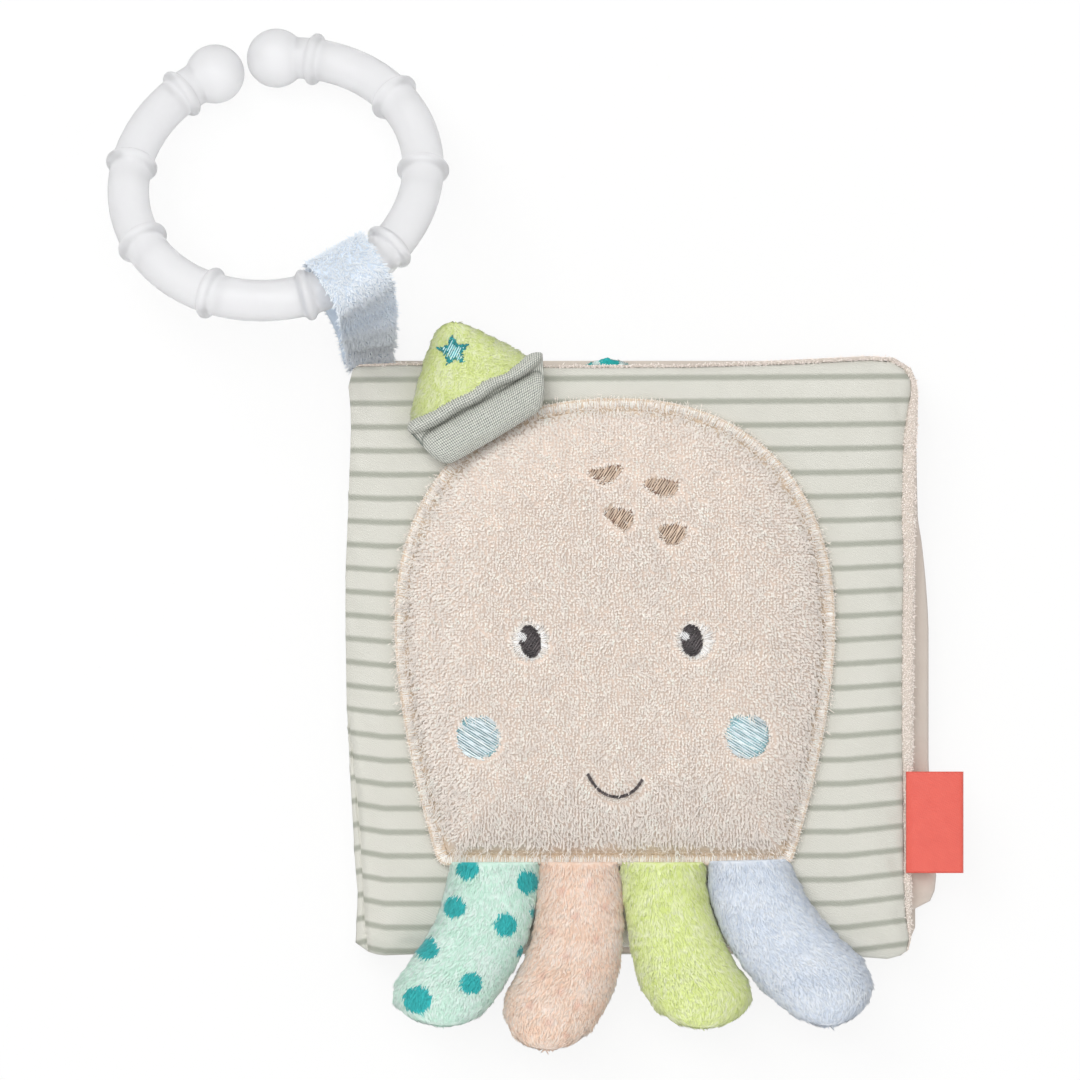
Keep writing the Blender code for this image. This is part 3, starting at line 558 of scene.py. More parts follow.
def around_at(turns: Array) -> Array:
    """Give the flat direction of each angle."""
    return np.stack([np.cos(turns), np.sin(turns)], 1)


def left_of(ways: Array) -> Array:
    """Turn flat directions a quarter turn to the left."""
    return np.stack([-ways[:, 1], ways[:, 0]], 1)


def between_rows(table: Array, at: Array) -> Array:
    """Read a table at places between its rows.

    Args:
        table: One value or point a row.
        at: The row numbers, with their fractions.

    Returns:
        One value or point for each place.
    """
    low = np.minimum(at.astype(int), len(table) - 2)
    part = (at - low).reshape(-1, *[1] * (table.ndim - 1))
    return table[low] * (1 - part) + table[low + 1] * part


def at_shares(line: Array | Path, shares: Array) -> Array:
    """Find points along a line by their share of its length.

    Args:
        line: The line's points.
        shares: Shares from 0 to 1.

    Returns:
        One point for each share.
    """
    line = np.asarray(line, float)
    steps = travelled(line)
    steps /= steps[-1]
    return np.stack([np.interp(shares, steps, line[:, k]) for k in range(line.shape[1])], 1)


def soften(line: Array | Path, count: int, passes: int) -> Array:
    """Resample an open line evenly and round its corners, its ends kept.

    Args:
        line: The line's points.
        count: How many points to return.
        passes: How often each point is drawn to its neighbours.

    Returns:
        The smoother line.
    """
    made = at_shares(line, np.linspace(0, 1, count))
    for _ in range(passes):
        made[1:-1] = made[1:-1] * 0.5 + (made[:-2] + made[2:]) * 0.25
    return made


def edge_distance(places: Array, outline: Array) -> Array:
    """Find how far each place is from a closed outline.

    Args:
        places: Points, one row each.
        outline: The outline's points in order.

    Returns:
        The distances.
    """
    best = np.full(len(places), 1e9)
    for start, end in zip(outline, np.roll(outline, -1, 0)):
        run = end - start
        along = np.clip((places - start) @ run / max(run @ run, 1e-12), 0, 1)
        best = np.minimum(best, lengths(places - start - along[:, None] * run))
    return best


def inside(places: Array, outline: Array) -> Array:
    """Tell which places lie in a closed outline.

    Args:
        places: Points, one row each.
        outline: The outline's points in order.

    Returns:
        True for each place within.
    """
    found = np.zeros(len(places), bool)
    x, y = places[:, 0], places[:, 1]
    for (ax, ay), (bx, by) in zip(outline, np.roll(outline, -1, 0)):
        if ay == by:
            continue
        crosses = (ay > y) != (by > y)
        found ^= crosses & (x < (bx - ax) * (y - ay) / (by - ay) + ax)
    return found


def ripple(places: Array, wavelength: float, seed: int) -> Array:
    """Make an even, smooth, seeded unevenness of about one unit.

    Args:
        places: Points, one row each, the first two numbers used.
        wavelength: The usual length of a wave.
        seed: The pattern's number.

    Returns:
        One value a place.
    """
    rng = np.random.default_rng(seed)
    total = np.zeros(len(places))
    for _ in range(7):
        angle, phase = rng.uniform(0, TURN, 2)
        length = wavelength * rng.uniform(0.7, 1.5)
        across = places[:, 0] * math.cos(angle) + places[:, 1] * math.sin(angle)
        total += np.sin(across * TURN / length + phase)
    return total / math.sqrt(7 / 2) / 1.4


def rise(distance: Array, edge: float, power: float = 2.2) -> Array:
    """Shape how a stuffed edge rises: steep at the seam, then level.

    Args:
        distance: Distance from the seam.
        edge: The width of the rising part.
        power: How full the edge is.

    Returns:
        Shares from 0 to 1.
    """
    share = np.clip(distance / edge, 0, 1)
    return (1 - (1 - share) ** power) ** (1 / power)


def grid_faces(rows: int, columns: int) -> Array:
    """Number the faces of a grid whose rows run up and columns run right, facing +Z.

    Args:
        rows: Points up.
        columns: Points across.

    Returns:
        Four corners a face.
    """
    low = (np.arange(rows - 1)[:, None] * columns + np.arange(columns - 1)).ravel()
    return np.stack([low, low + 1, low + columns + 1, low + columns], 1)


def tube_faces(rings: int, around: int) -> Array:
    """Join closed rings of points.

    Args:
        rings: How many rings.
        around: Points round each.

    Returns:
        Four corners a face.
    """
    starts = np.arange(rings - 1)[:, None] * around
    low, after = (starts + np.arange(around)).ravel(), (starts + (np.arange(around) + 1) % around).ravel()
    return np.stack([low, after, after + around, low + around], 1)


def grid_rim(rows: int, columns: int) -> Array:
    """Number a grid's outer points in order, anticlockwise from the first one.

    Args:
        rows: Points up.
        columns: Points across.

    Returns:
        The points' numbers.
    """
    low, high = np.arange(columns), (rows - 1) * columns + np.arange(columns - 2, -1, -1)
    right, left = np.arange(1, rows) * columns + columns - 1, np.arange(rows - 2, 0, -1) * columns
    return np.concatenate([low, right, high, left])


def coons(
    left: Array, right: Array, bottom: Array, top: Array, across: Array, along: Array
) -> Array:
    """Fill four sides with a grid of points.

    Args:
        left: The left side, upwards.
        right: The right side, upwards.
        bottom: The lower side, to the right.
        top: The upper side, to the right.
        across: Shares from left to right.
        along: Shares from bottom to top.

    Returns:
        Points by row and column.
    """
    west, east = at_shares(left, along)[:, None], at_shares(right, along)[:, None]
    south, north = at_shares(bottom, across)[None], at_shares(top, across)[None]
    s, t = across[None, :, None], along[:, None, None]
    low, high = (1 - s) * south[:, :1] + s * south[:, -1:], (1 - s) * north[:, :1] + s * north[:, -1:]
    return (1 - t) * south + t * north + (1 - s) * west + s * east - ((1 - t) * low + t * high)


def close_at_ends(count: int, strength: float = 0.6) -> Array:
    """Space shares from 0 to 1 closer at both ends.

    Args:
        count: How many shares.
        strength: 0 is even, towards 1 is closer.

    Returns:
        The shares.
    """
    even = np.linspace(0, 1, count)
    return even - strength * np.sin(TURN * even) / TURN


# ---------------------------------------------------------------- pile and thread


@dataclass
class Pile:
    """Many tapering strands on a skin: terry loops, plush hair or velour nap."""

    roots: Array
    middles: Array
    tips: Array
    widths: Array
    colours: Array
    normals: Array
    # roots painted darker as painted shade among the strands, tips painted lighter as a painted highlight
    root_painted_shade: float = 0.9
    tip_painted_highlight: float = 1.04
    own_shade: float = 0.25

    def mesh(
        self, name: str, skin: Array = NO_SKIN, faces: tuple[Array, ...] = (), colour: Array = NO_SKIN
    ) -> Piece:
        """Join the skin and its strands into one painted mesh.

        Args:
            name: The object's name.
            skin: The skin's points, none where another piece is the skin.
            faces: The skin's faces.
            colour: One colour for each of the skin's points.

        Returns:
            The object.
        """
        count = len(self.roots)
        rng = np.random.default_rng(count)
        run = unit(self.tips - self.roots)
        aside = unit(np.cross(run, rng.normal(size=(count, 3))))
        other = np.cross(run, aside)
        half = (self.widths / 2)[:, None]
        rings = []
        for centre, scale in ((self.roots, 0.85), (self.middles, 1.0)):
            for turn in (0, TURN / 3, 2 * TURN / 3):
                rings.append(centre + half * scale * (math.cos(turn) * aside + math.sin(turn) * other))
        points = np.stack(rings + [self.tips], 1).reshape(-1, 3)
        base = (np.arange(count) * STRAND_POINTS + len(skin))[:, None]
        sides = np.concatenate([base + [0, 1, 4, 3], base + [1, 2, 5, 4], base + [2, 0, 3, 5]])
        caps = np.concatenate([base + [3, 4, 6], base + [4, 5, 6], base + [5, 3, 6], base + [2, 1, 0]])
        shades = np.repeat(self.colours[:, None], STRAND_POINTS, 1)
        # painted shade at each strand's roots and a painted highlight at its tip
        shades[:, :3] *= self.root_painted_shade
        shades[:, -1] *= self.tip_painted_highlight
        made = mesh_object(name, np.concatenate([skin, points]), [*faces, sides, caps])
        paint(made, np.concatenate([colour, shades.reshape(-1, 3)]))
        self.soften_shading(made, len(skin))
        return made

    def soften_shading(self, piece: Piece, skin_count: int) -> None:
        """Turn each strand's shading normals towards the skin's, as light passing through fibres does.

        Args:
            piece: The mesh object.
            skin_count: How many points the skin has.
        """
        natural = read(piece.data.vertices, "normal", 3, np.float32)
        wanted = np.repeat(self.normals, STRAND_POINTS, 0)
        natural[skin_count:] = natural[skin_count:] * self.own_shade + wanted * (1 - self.own_shade)
        piece.data.normals_split_custom_set_from_vertices(unit(natural))


@dataclass
class Stitches:
    """Rows of single thread stitches, each an arched tube with pointed ends."""

    sides: int = 5
    stations: tuple[float, ...] = (0.06, 0.25, 0.5, 0.75, 0.94)
    rows: list[tuple[Array, ...]] = field(default_factory=list)

    def add(
        self, starts: Array, ends: Array, lift: float, radius: float, colour: str, seed: int, spread: float = 0.11
    ) -> None:
        """Lay stitches of one thread.

        Args:
            starts: Where each goes in.
            ends: Where each comes out.
            lift: How high a stitch arches.
            radius: Half the thread's thickness.
            colour: The thread's colour.
            seed: The number of its unevenness.
            spread: How much the stitches differ in brightness.
        """
        rng = np.random.default_rng(seed)
        count = len(starts)
        lifts, radii = lift * rng.uniform(0.8, 1.2, count), radius * rng.uniform(0.85, 1.15, count)
        self.rows.append((starts, ends, lifts, radii, rgb(colour) * rng.uniform(1 - spread, 1 + spread, (count, 1))))

    def mesh(self, name: str) -> Piece:
        """Make all the stitches one painted mesh.

        Args:
            name: The object's name.

        Returns:
            The object.
        """
        starts, ends, lifts, radii, colours = (np.concatenate(column) for column in zip(*self.rows))
        run = unit(ends - starts)
        aside = unit(np.cross(run, [0.0, 0.0, 1.0]))
        above = np.cross(aside, run)
        sides, rings = self.sides, []
        for share in self.stations:
            arch = 1 - abs(2 * share - 1) ** 2.6
            middle = starts + (ends - starts) * share + above * (lifts * arch)[:, None]
            girth = (radii * (0.7 + 0.3 * arch))[:, None]
            for turn in TURN * np.arange(sides) / sides:
                rings.append(middle + girth * (math.cos(turn) * aside + math.sin(turn) * above))
        tips = [starts - above * radii[:, None], ends - above * radii[:, None]]
        each, last = len(rings) + 2, len(rings) - sides
        base = (np.arange(len(starts)) * each)[:, None]
        quads, caps = [], []
        for low in range(0, last, sides):
            for side in range(sides):
                after = (side + 1) % sides
                quads.append(base + [low + side, low + after, low + sides + after, low + sides + side])
        for side in range(sides):
            after = (side + 1) % sides
            caps += [base + [after, side, each - 2], base + [last + side, last + after, each - 1]]
        points = np.stack(rings + tips, 1).reshape(-1, 3)
        made = mesh_object(name, points, [np.concatenate(quads), np.concatenate(caps)])
        paint(made, np.repeat(colours, each, 0))
        turn_outwards(made)
        return made


def turn_outwards(piece: Piece) -> None:
    """Point all faces of closed shells outwards.

    Args:
        piece: The mesh object.
    """
    make_active(piece)
    bpy.ops.object.mode_set(mode="EDIT")
    bpy.ops.mesh.select_all(action="SELECT")
    bpy.ops.mesh.normals_make_consistent(inside=False)
    bpy.ops.object.mode_set(mode="OBJECT")


def hatch(outline: Array, angle: float, pitch: float, seed: int, jitter: float = 0.12) -> tuple[Array, Array]:
    """Run satin stitches across a shape.

    Args:
        outline: The shape's closed outline.
        angle: The stitches' direction in degrees.
        pitch: The distance between threads.
        seed: The number of their unevenness.
        jitter: How unevenly they end.

    Returns:
        Where the stitches start and where they end, flat.
    """
    rng = np.random.default_rng(seed)
    turn = math.radians(angle)
    run, aside = np.array([math.cos(turn), math.sin(turn)]), np.array([-math.sin(turn), math.cos(turn)])
    flat = np.stack([outline @ run, outline @ aside], 1)
    starts, ends = [], []
    for level in np.arange(flat[:, 1].min() + pitch / 2, flat[:, 1].max(), pitch):
        crossings = []
        for (ax, ay), (bx, by) in zip(flat, np.roll(flat, -1, 0)):
            if (ay > level) != (by > level):
                crossings.append(ax + (bx - ax) * (level - ay) / (by - ay))
        crossings.sort()
        for low, high in zip(crossings[::2], crossings[1::2]):
            if high - low > 0.3:
                low, high = low + rng.normal(0, jitter), high + rng.normal(0, jitter)
                starts.append(run * low + aside * level)
                ends.append(run * high + aside * level)
    return np.array(starts), np.array(ends)


def lifted(flat: Array, heights: Array | float) -> Array:
    """Give flat points their heights.

    Args:
        flat: Points in the plane.
        heights: One height, or one for each.

    Returns:
        Points in space.
    """
    return np.concatenate([flat, np.broadcast_to(np.asarray(heights, float), (len(flat),))[:, None]], 1)


def ellipse(x: float, y: float, wide: float, tall: float, lean: float = 0.0, count: int = 32) -> Array:
    """Draw an oval.

    Args:
        x: Its middle.
        y: Its middle.
        wide: Half its width.
        tall: Half its height.
        lean: Its turn in degrees.
        count: How many points.

    Returns:
        The closed outline.
    """
    flat = around_at(np.linspace(0, TURN, count, endpoint=False)) * [wide, tall]
    c, s = math.cos(math.radians(lean)), math.sin(math.radians(lean))
    return flat @ np.array([[c, s], [-s, c]]) + [x, y]


# ---------------------------------------------------------------- book


@dataclass
class LeafCloth:
    """One cloth of a leaf, stuffed from behind and drawn down to the seam all round."""

    name: str
    sides: Sides
    seam: float
    face: float
    facing: Facing
    seed: int
    columns: int = 96
    rows: int = 104
    edge: float = 7.5
    cloth: float = 0.5
    pucker: float = 0.26
    swell: float = 0.25
    fold: Path | None = None
    roll: "LeafCloth | None" = None
    flat_stretch: tuple[float, float] | None = None

    def lines(self) -> list[Array]:
        """Give the four sides as arrays."""
        return [np.asarray(line, float) for line in self.sides]

    def outline(self) -> Array:
        """Give the closed outline, anticlockwise."""
        left, right, bottom, top = self.lines()
        return np.concatenate([bottom[:-1], right[:-1], top[::-1][:-1], left[::-1][:-1]])

    def grid(self) -> tuple[Array, int]:
        """Fill the outline with points.

        Returns:
            Points by row and column, and the column of the fold, 0 where there is none.
        """
        left, right, bottom, top = self.lines()
        along = close_at_ends(self.rows)
        if self.fold is None:
            return coons(left, right, bottom, top, close_at_ends(self.columns), along), 0
        fold = np.asarray(self.fold, float)
        strip_bottom, strip_top = np.stack([left[0], fold[0]]), np.stack([left[-1], fold[-1]])
        bottom = np.concatenate([fold[:1], bottom[bottom[:, 0] > fold[0, 0] + 0.1]])
        top = np.concatenate([fold[-1:], top[top[:, 0] > fold[-1, 0] + 0.1]])
        strip = coons(left, fold, strip_bottom, strip_top, np.linspace(0, 1, 9), along)
        rest = coons(fold, right, bottom, top, close_at_ends(self.columns), along)
        return np.concatenate([strip[:, :-1], rest], 1), 8

    def heights(self, places: Array) -> Array:
        """Give the cloth's height over its seam, towards the way it faces.

        Args:
            places: Points in the plane.

        Returns:
            One height for each.
        """
        distance = edge_distance(places, self.outline())
        full = abs(self.face - self.seam)
        height = 0.12 + (full - 0.12) * rise(distance, self.edge, 1.7)
        height += self.pucker * ripple(places, 5.5, self.seed) * np.exp(-(((distance - 1.8) / 1.6) ** 2))
        height -= self.swell * (0.5 + 0.5 * ripple(places, 34.0, self.seed + 1)) * rise(distance, 14.0)
        if self.fold is not None:
            line = at_shares(self.fold, np.linspace(0, 1, 300))
            away = np.linalg.norm(places[:, None] - line[None, ::3], axis=2).min(1)
            fade = np.clip((-8.0 - places[:, 1]) / 5.0, 0, 1)
            beside = places[:, 0] > np.interp(places[:, 1], line[:, 1], line[:, 0])
            height -= fade * 0.75 * np.exp(-((away / 0.42) ** 2))
            height += fade * 0.35 * np.exp(-(((away - 1.1) / 0.8) ** 2)) * beside
        return np.maximum(height, 0.05)

    def build(self) -> Piece:
        """Make the cloth.

        Returns:
            The object, with its UV map.
        """
        points, fold_column = self.grid()
        rows, columns = points.shape[:2]
        flat = points.reshape(-1, 2)
        sign = self.facing.value
        space = lifted(flat, self.seam + sign * self.heights(flat))
        faces = grid_faces(rows, columns)
        if self.roll is not None:
            space, faces = self.rolled_rim(space, faces, rows, columns, sign)
        if self.facing is Facing.DOWN:
            faces = faces[:, ::-1]
        made = mesh_object(self.name, space, [faces])
        corners = space[faces.ravel()][:, :2]
        uv = stripe_place(corners)
        if fold_column:
            column = faces % columns
            on_strip = np.repeat(column.max(1) <= fold_column, 4) & (np.repeat(corners[1::4, 1], 4) < -7.6)
            uv[on_strip] = strip_place(corners[on_strip])
        lay_uv(made, uv)
        apply_modifier(made, "SOLIDIFY", thickness=self.cloth * MM, offset=-1.0, use_even_offset=False)
        return made

    def rolled_rim(
        self, space: Array, faces: Array, rows: int, columns: int, sign: float
    ) -> tuple[Array, Array]:
        """Roll the cloth's edge round the seam allowance and back to the other cloth.

        Args:
            space: The grid's points.
            faces: The grid's faces.
            rows: Points up.
            columns: Points across.
            sign: 1 where the cloth looks up.

        Returns:
            All points and faces.
        """
        around = grid_rim(rows, columns)
        inner, _ = LeafCloth("", self.roll.sides, 0.0, 1.0, Facing.UP, 0, self.columns, self.rows).grid()
        target = inner.reshape(-1, 2)[around]
        edge = space[around, :2]
        inwards = 0.8 * unit(edge.mean(0) - edge)
        rolls = inside(target, self.outline()).astype(float)[:, None]
        way = np.where(rolls > 0, target - edge, inwards)
        for _ in range(4):
            way = eased(way)
            rolls = np.minimum(rolls, (np.roll(rolls, 1, 0) + np.roll(rolls, -1, 0)) * 0.5)
        full = np.clip(lengths(way) / 1.4, 0.12, 1.0) * rolls[:, 0] - 0.1 * (1 - rolls[:, 0])
        if self.flat_stretch is not None:
            low, high = self.flat_stretch
            near = (edge[:, 1] > low) & (edge[:, 1] < high) & (edge[:, 0] > 0)
            full = np.where(near, 0.16, full)
        full = np.clip(full, -0.1, 1.0)
        wave = 0.12 * ripple(edge, 4.5, self.seed + 7)
        # share of the way to the other cloth, and height over the seam
        roll = ((-0.02, 0.28), (0.08, 0.62), (0.24, 0.86), (0.42, 0.84), (0.62, 0.76), (0.86, 0.66), (1.12, 0.52))
        parts = [space]
        for share, height in roll:
            parts.append(lifted(edge + way * share, self.seam - sign * height * (1.05 + wave) * full))
        rings = [around, *(np.arange(len(around) * len(roll)) + len(space)).reshape(len(roll), -1)]
        strips = [np.stack([np.roll(a, -1), a, b, np.roll(b, -1)], 1) for a, b in zip(rings, rings[1:])]
        return np.concatenate(parts), np.concatenate([faces, *strips])


@dataclass
class RimNap:
    """A short nap on the part of the inner cloth that shows beside the outer one, to the right and above."""

    tone: str = "#FFF2EA"
    strands_to_a_square: float = 16.0
    right: float = 40.0
    top: float = 50.0

    def build(self, cloth: Piece, shown: Array, plush: Finish) -> None:
        """Raise the nap.

        Args:
            cloth: The inner cloth, in place.
            shown: The outer cloth's outline.
            plush: The nap's finish.
        """
        faces = cloth.data.polygons
        centres, normals = read(faces, "center", 3) / MM, read(faces, "normal", 3)
        areas = read(faces, "area")[:, 0] / MM**2
        outer = ~inside(centres[:, :2], shown) | (edge_distance(centres[:, :2], shown[::2]) < 0.4)
        bare = outer & (normals[:, 2] > 0.1) & ((centres[:, 0] > self.right) | (centres[:, 1] > self.top))
        places = np.flatnonzero(bare)
        rng = np.random.default_rng(160)
        number = int(areas[places].sum() * self.strands_to_a_square)
        pick = rng.choice(places, number, p=areas[places] / areas[places].sum())
        corners = read(cloth.data.loops, "vertex_index", kind=np.int32).reshape(-1, 4)[pick]
        quads = (read(cloth.data.vertices, "co", 3) / MM)[corners]
        across, along = rng.uniform(size=(2, number, 1))
        near = quads[:, 0] * (1 - across) + quads[:, 1] * across
        far = quads[:, 3] * (1 - across) + quads[:, 2] * across
        normal = normals[pick]
        roots = near * (1 - along) + far * along - normal * 0.1
        way = normal * 0.55 + rng.normal(0, 0.4, (number, 3)) + [0.0, -0.2, 0.0]
        tips = roots + way * rng.uniform(0.3, 0.6, (number, 1))
        colours = rgb(self.tone) * (1 + 0.04 * rng.normal(size=(number, 1)))
        bent, widths = (roots + tips) / 2 + normal * 0.06, rng.uniform(0.14, 0.22, number)
        nap = Pile(roots, bent, tips, widths, colours, normal * 0.4 + [0.0, 0.0, 0.6], 0.96, 1.06, 0.15)
        finish_piece(nap.mesh("front_cover_rim_nap"), plush, "front_cover", "cream_cotton")


@dataclass
class LeafFilling:
    """What lies between a leaf's two cloths: bonded wadding, and crackling film above or below it."""

    body: str
    upper: LeafCloth
    lower: LeafCloth
    film_share: float
    inset: float = 3.2

    def layer(self, name: str, low: float, high: float, thin: float) -> Piece:
        """Make one closed layer between two shares of the leaf's swelling.

        Args:
            name: The object's name.
            low: Its underside, from -1 at the lower cloth to 1 at the upper.
            high: Its upper side.
            thin: How thick it is at least.

        Returns:
            The object.
        """
        outline = self.upper.outline()
        points, _ = LeafCloth("", self.upper.sides, 0.0, 1.0, Facing.UP, 0, 60, 64).grid()
        rows, columns = points.shape[:2]
        flat = points.reshape(-1, 2)
        middle = outline.mean(0)
        half = (outline.max(0) - outline.min(0)) / 2
        flat = middle + (flat - middle) * (1 - self.inset / half)
        over = self.upper.heights(flat) - self.upper.cloth
        under = self.lower.heights(flat) - self.lower.cloth
        sides = []
        for share in (low, high):
            sides.append(self.upper.seam + np.where(share > 0, over * share, under * share))
        crumple = 0.06 * ripple(flat, 4.0, 151)
        sides[1] = np.maximum(sides[1], sides[0] + thin) + crumple
        sides[0] = sides[0] + crumple
        faces, around, count = grid_faces(rows, columns), grid_rim(rows, columns), rows * columns
        after = np.roll(around, -1)
        wall = np.stack([around, after, after + count, around + count], 1)
        points = np.concatenate([lifted(flat, height) for height in sides])
        return mesh_object(name, points, [faces[:, ::-1], faces + count, wall])

    def build(self, wadding: Finish, film: Finish) -> None:
        """Make the wadding and the film.

        Args:
            wadding: The wadding's finish.
            film: The film's finish.
        """
        low, high = (-0.85, 0.6) if self.film_share > 0 else (-0.6, 0.85)
        piece = self.layer(f"{self.body}_bonded_wadding", low, high, 0.5)
        finish_piece(piece, wadding, self.body, "wadding", f"{self.body}_wadding")
        edge = self.film_share - 0.02
        piece = self.layer(f"{self.body}_crackling_film", edge, edge, 0.09)
        finish_piece(piece, film, self.body, "crinkle_film", f"{self.body}_crinkle_film")


def stripe_place(places: Array) -> Array:
    """Give a cover place its UV: millimetres across, and stripes counted down from the top.

    Args:
        places: Points in the plane.

    Returns:
        Two numbers a point.
    """
    x, y = places[:, 0], places[:, 1]
    top, pitch = 54.89 + 0.0064 * (x + 47.6), 4.647 + 0.00028 * (x + 47.6)
    count = (top - y) / pitch
    lift = count / 23 * (0.12 * np.maximum(0, x - 42.3) + 0.2 * np.maximum(0, -47.4 - x))
    return np.stack([x, (top + lift - y) / pitch], 1)


def strip_place(places: Array) -> Array:
    """Give a place on the spine cloth its UV; its stripes sit a third lower and rise to the right.

    Args:
        places: Points in the plane.

    Returns:
        Two numbers a point.
    """
    x, y = places[:, 0], places[:, 1]
    return np.stack([x, (54.82 - y + 0.25 * (x + 52.65)) / 4.647 + 0.36], 1)


@dataclass
class Book:
    """Two covers and a page, each of two cloths, and the spine cloth that joins them."""

    front_seam: float = 14.3
    page_seam: float = 8.65
    back_seam: float = 3.0
    # each leaf: left and right side upwards, lower and upper side to the right
    cover: Sides = (
        (
            (-53.2, -55), (-52.9, -49.3), (-52.8, -45), (-53.2, -40.8), (-53.7, -32.2), (-54.2, -23.6), (-54.6, -15),
            (-55, -6.4), (-55.1, 2.1), (-55.2, 10.7), (-55.1, 19.3), (-54.7, 27.9), (-54.4, 36.5), (-54.1, 45),
            (-54.2, 49.3), (-54.6, 53.6), (-53.7, 57.1),
        ),
        (
            (53.2, -57.5), (54.4, -56.6), (54.9, -54), (54.3, -49.5), (53.9, -40.8), (53.7, -19.3), (53.7, -5.7),
            (53.8, 8), (54, 19.7), (53.7, 27.5), (53.9, 40.2), (54.2, 45), (54.8, 48.9), (55.4, 52.5), (55.3, 54.8),
            (54, 56.9),
        ),
        (
            (-53.2, -55), (-52.3, -56), (-50.7, -56.8), (-49.1, -57.3), (-47.6, -57.5), (-38.6, -57.2),
            (-21.1, -56.4), (-5.5, -55.9), (17.9, -55.8), (31.6, -56.4), (45.2, -57.8), (50.7, -58.2), (53.2, -57.5),
        ),
        (
            (-53.7, 57.1), (-52.8, 57.5), (-44.5, 57.8), (-13.3, 57.3), (12.1, 57.4), (31.6, 58), (46.8, 58.8),
            (51.5, 58.5), (54, 56.9),
        ),
    )
    lining: Sides = (
        (
            (-52.8, -54.6), (-52.6, -49.3), (-52.5, -45), (-53.3, -32.2), (-54.2, -15), (-54.7, 2.1), (-54.8, 10.7),
            (-54.3, 27.9), (-53.7, 45), (-54.1, 53.6), (-53.4, 56.9),
        ),
        (
            (53.2, -57.3), (54.7, -56.5), (55.2, -54.6), (55.3, -50.1), (55.3, -42.7), (55.6, -21.3), (55.8, 2.1),
            (56, 19.7), (56.2, 40.8), (56.4, 45), (56.6, 51.9), (56.3, 54.6), (55.2, 57.1),
        ),
        (
            (-52.8, -54.6), (-51.9, -55.7), (-50.3, -56.6), (-47.6, -57.1), (-38.6, -56.8), (-21.1, -56),
            (-5.5, -55.5), (17.9, -55.4), (31.6, -56), (45.2, -57.3), (50.7, -57.8), (53.2, -57.3),
        ),
        (
            (-53.4, 56.9), (-52.5, 57.9), (-44.5, 58.2), (-13.3, 57.7), (12.1, 57.9), (21.8, 58.3), (36.7, 59),
            (46.8, 59.5), (51.9, 59.2), (55.2, 57.1),
        ),
    )
    page: Sides = (
        (
            (-51.9, -47.5), (-52.7, -38), (-53.4, -27), (-54.3, -10), (-54.7, 10), (-53.6, 50.5),
        ),
        (
            (53, -49.9), (55.2, -49), (59.1, -47), (60, -45), (60.3, -42.1), (59.9, -36.9), (59.1, -27.1),
            (58.8, -19.3), (58.8, 6.4), (58.6, 10.7), (58.3, 15), (57.9, 19.3), (57.4, 23.6), (56.7, 27.7),
            (56.5, 36.5), (56.4, 43.1), (55.8, 48.9), (54.2, 51.1),
        ),
        (
            (-51.9, -47.5), (-50.8, -48.9), (-25, -49.4), (33.5, -49.6), (53, -49.9),
        ),
        (
            (-53.6, 50.5), (-52.6, 52), (-5.5, 52), (43.3, 52.1), (51.7, 52.1), (54.2, 51.1),
        ),
    )
    cover_fold: Path = (
        (-50.7, -56.8), (-50.9, -55.4), (-51.4, -50.5), (-51.9, -40.8), (-52.4, -33), (-53.2, -23.2), (-54.3, -13.5),
        (-54.7, -7.6), (-54.7, 2.1), (-54.8, 10.7), (-54.7, 19.3), (-54.3, 27.9), (-54.1, 36.5), (-53.8, 45),
        (-53.9, 49.3), (-54.2, 53.6), (-52.8, 57.5),
    )

    def squared(self, right: float, bottom: float, top: float, corner: float) -> Sides:
        """Give a rounded rectangle's four sides from the spine to a right edge.

        Args:
            right: The right edge.
            bottom: The lower edge.
            top: The upper edge.
            corner: The corner's radius.

        Returns:
            Left, right, bottom and top.
        """
        left, c = -54.2, corner
        cut = 0.3 * c
        sw, se = (left + cut + 1.8, bottom + cut + 1.0), (right - cut, bottom + cut)
        nw, ne = (left + cut, top - cut), (right - cut, top - cut)
        spine = ((left + 1.6, bottom + c + 2), (left + 0.9, bottom + 25), (left, bottom + 55), (left + 0.4, top - c))
        return (
            (sw, *spine, nw),
            (se, (right, bottom + c), (right, top - c), ne),
            (sw, (left + c + 1, bottom), (right - c, bottom), se),
            (nw, (left + c, top), (right - c, top), ne),
        )

    def sew(self, cloth: LeafCloth, finish: Finish, body: str, slot: str, node: str) -> Piece:
        """Make one cloth of a leaf.

        Args:
            cloth: The cloth.
            finish: Its finish.
            body: The body that it moves with.
            slot: The record's material slot.
            node: The CAD node that it replaces.

        Returns:
            The object.
        """
        piece = finish_piece(cloth.build(), finish, body, slot, node)
        return piece

    def build(
        self, stripes: Finish, lining: Finish, page: Finish, fillings: tuple[Finish, Finish], nap: Finish
    ) -> None:
        """Make the leaves and the spine.

        Args:
            stripes: The outer cloth's finish.
            lining: The inner cloth's finish.
            page: The page cloth's finish.
            fillings: The finishes of the wadding and the film in the leaves.
            nap: The finish of the nap on the inner cloth.
        """
        front = LeafCloth(
            "front_cover_cloth", self.cover, self.front_seam, 17.25, Facing.UP, 11, 112, 124, fold=self.cover_fold
        )
        self.sew(front, stripes, "front_cover", "striped_cotton", "front_cover_fabric")
        inner = LeafCloth(
            "front_cover_inner_cloth", self.lining, self.front_seam, 11.35, Facing.DOWN, 12, cloth=0.4, roll=front,
            flat_stretch=(-42.6, -20.4),
        )
        lined = self.sew(inner, lining, "front_cover", "cream_cotton", "front_cover_lining")
        RimNap().build(lined, front.outline(), nap)
        LeafFilling("front_cover", front, inner, -0.75).build(*fillings)

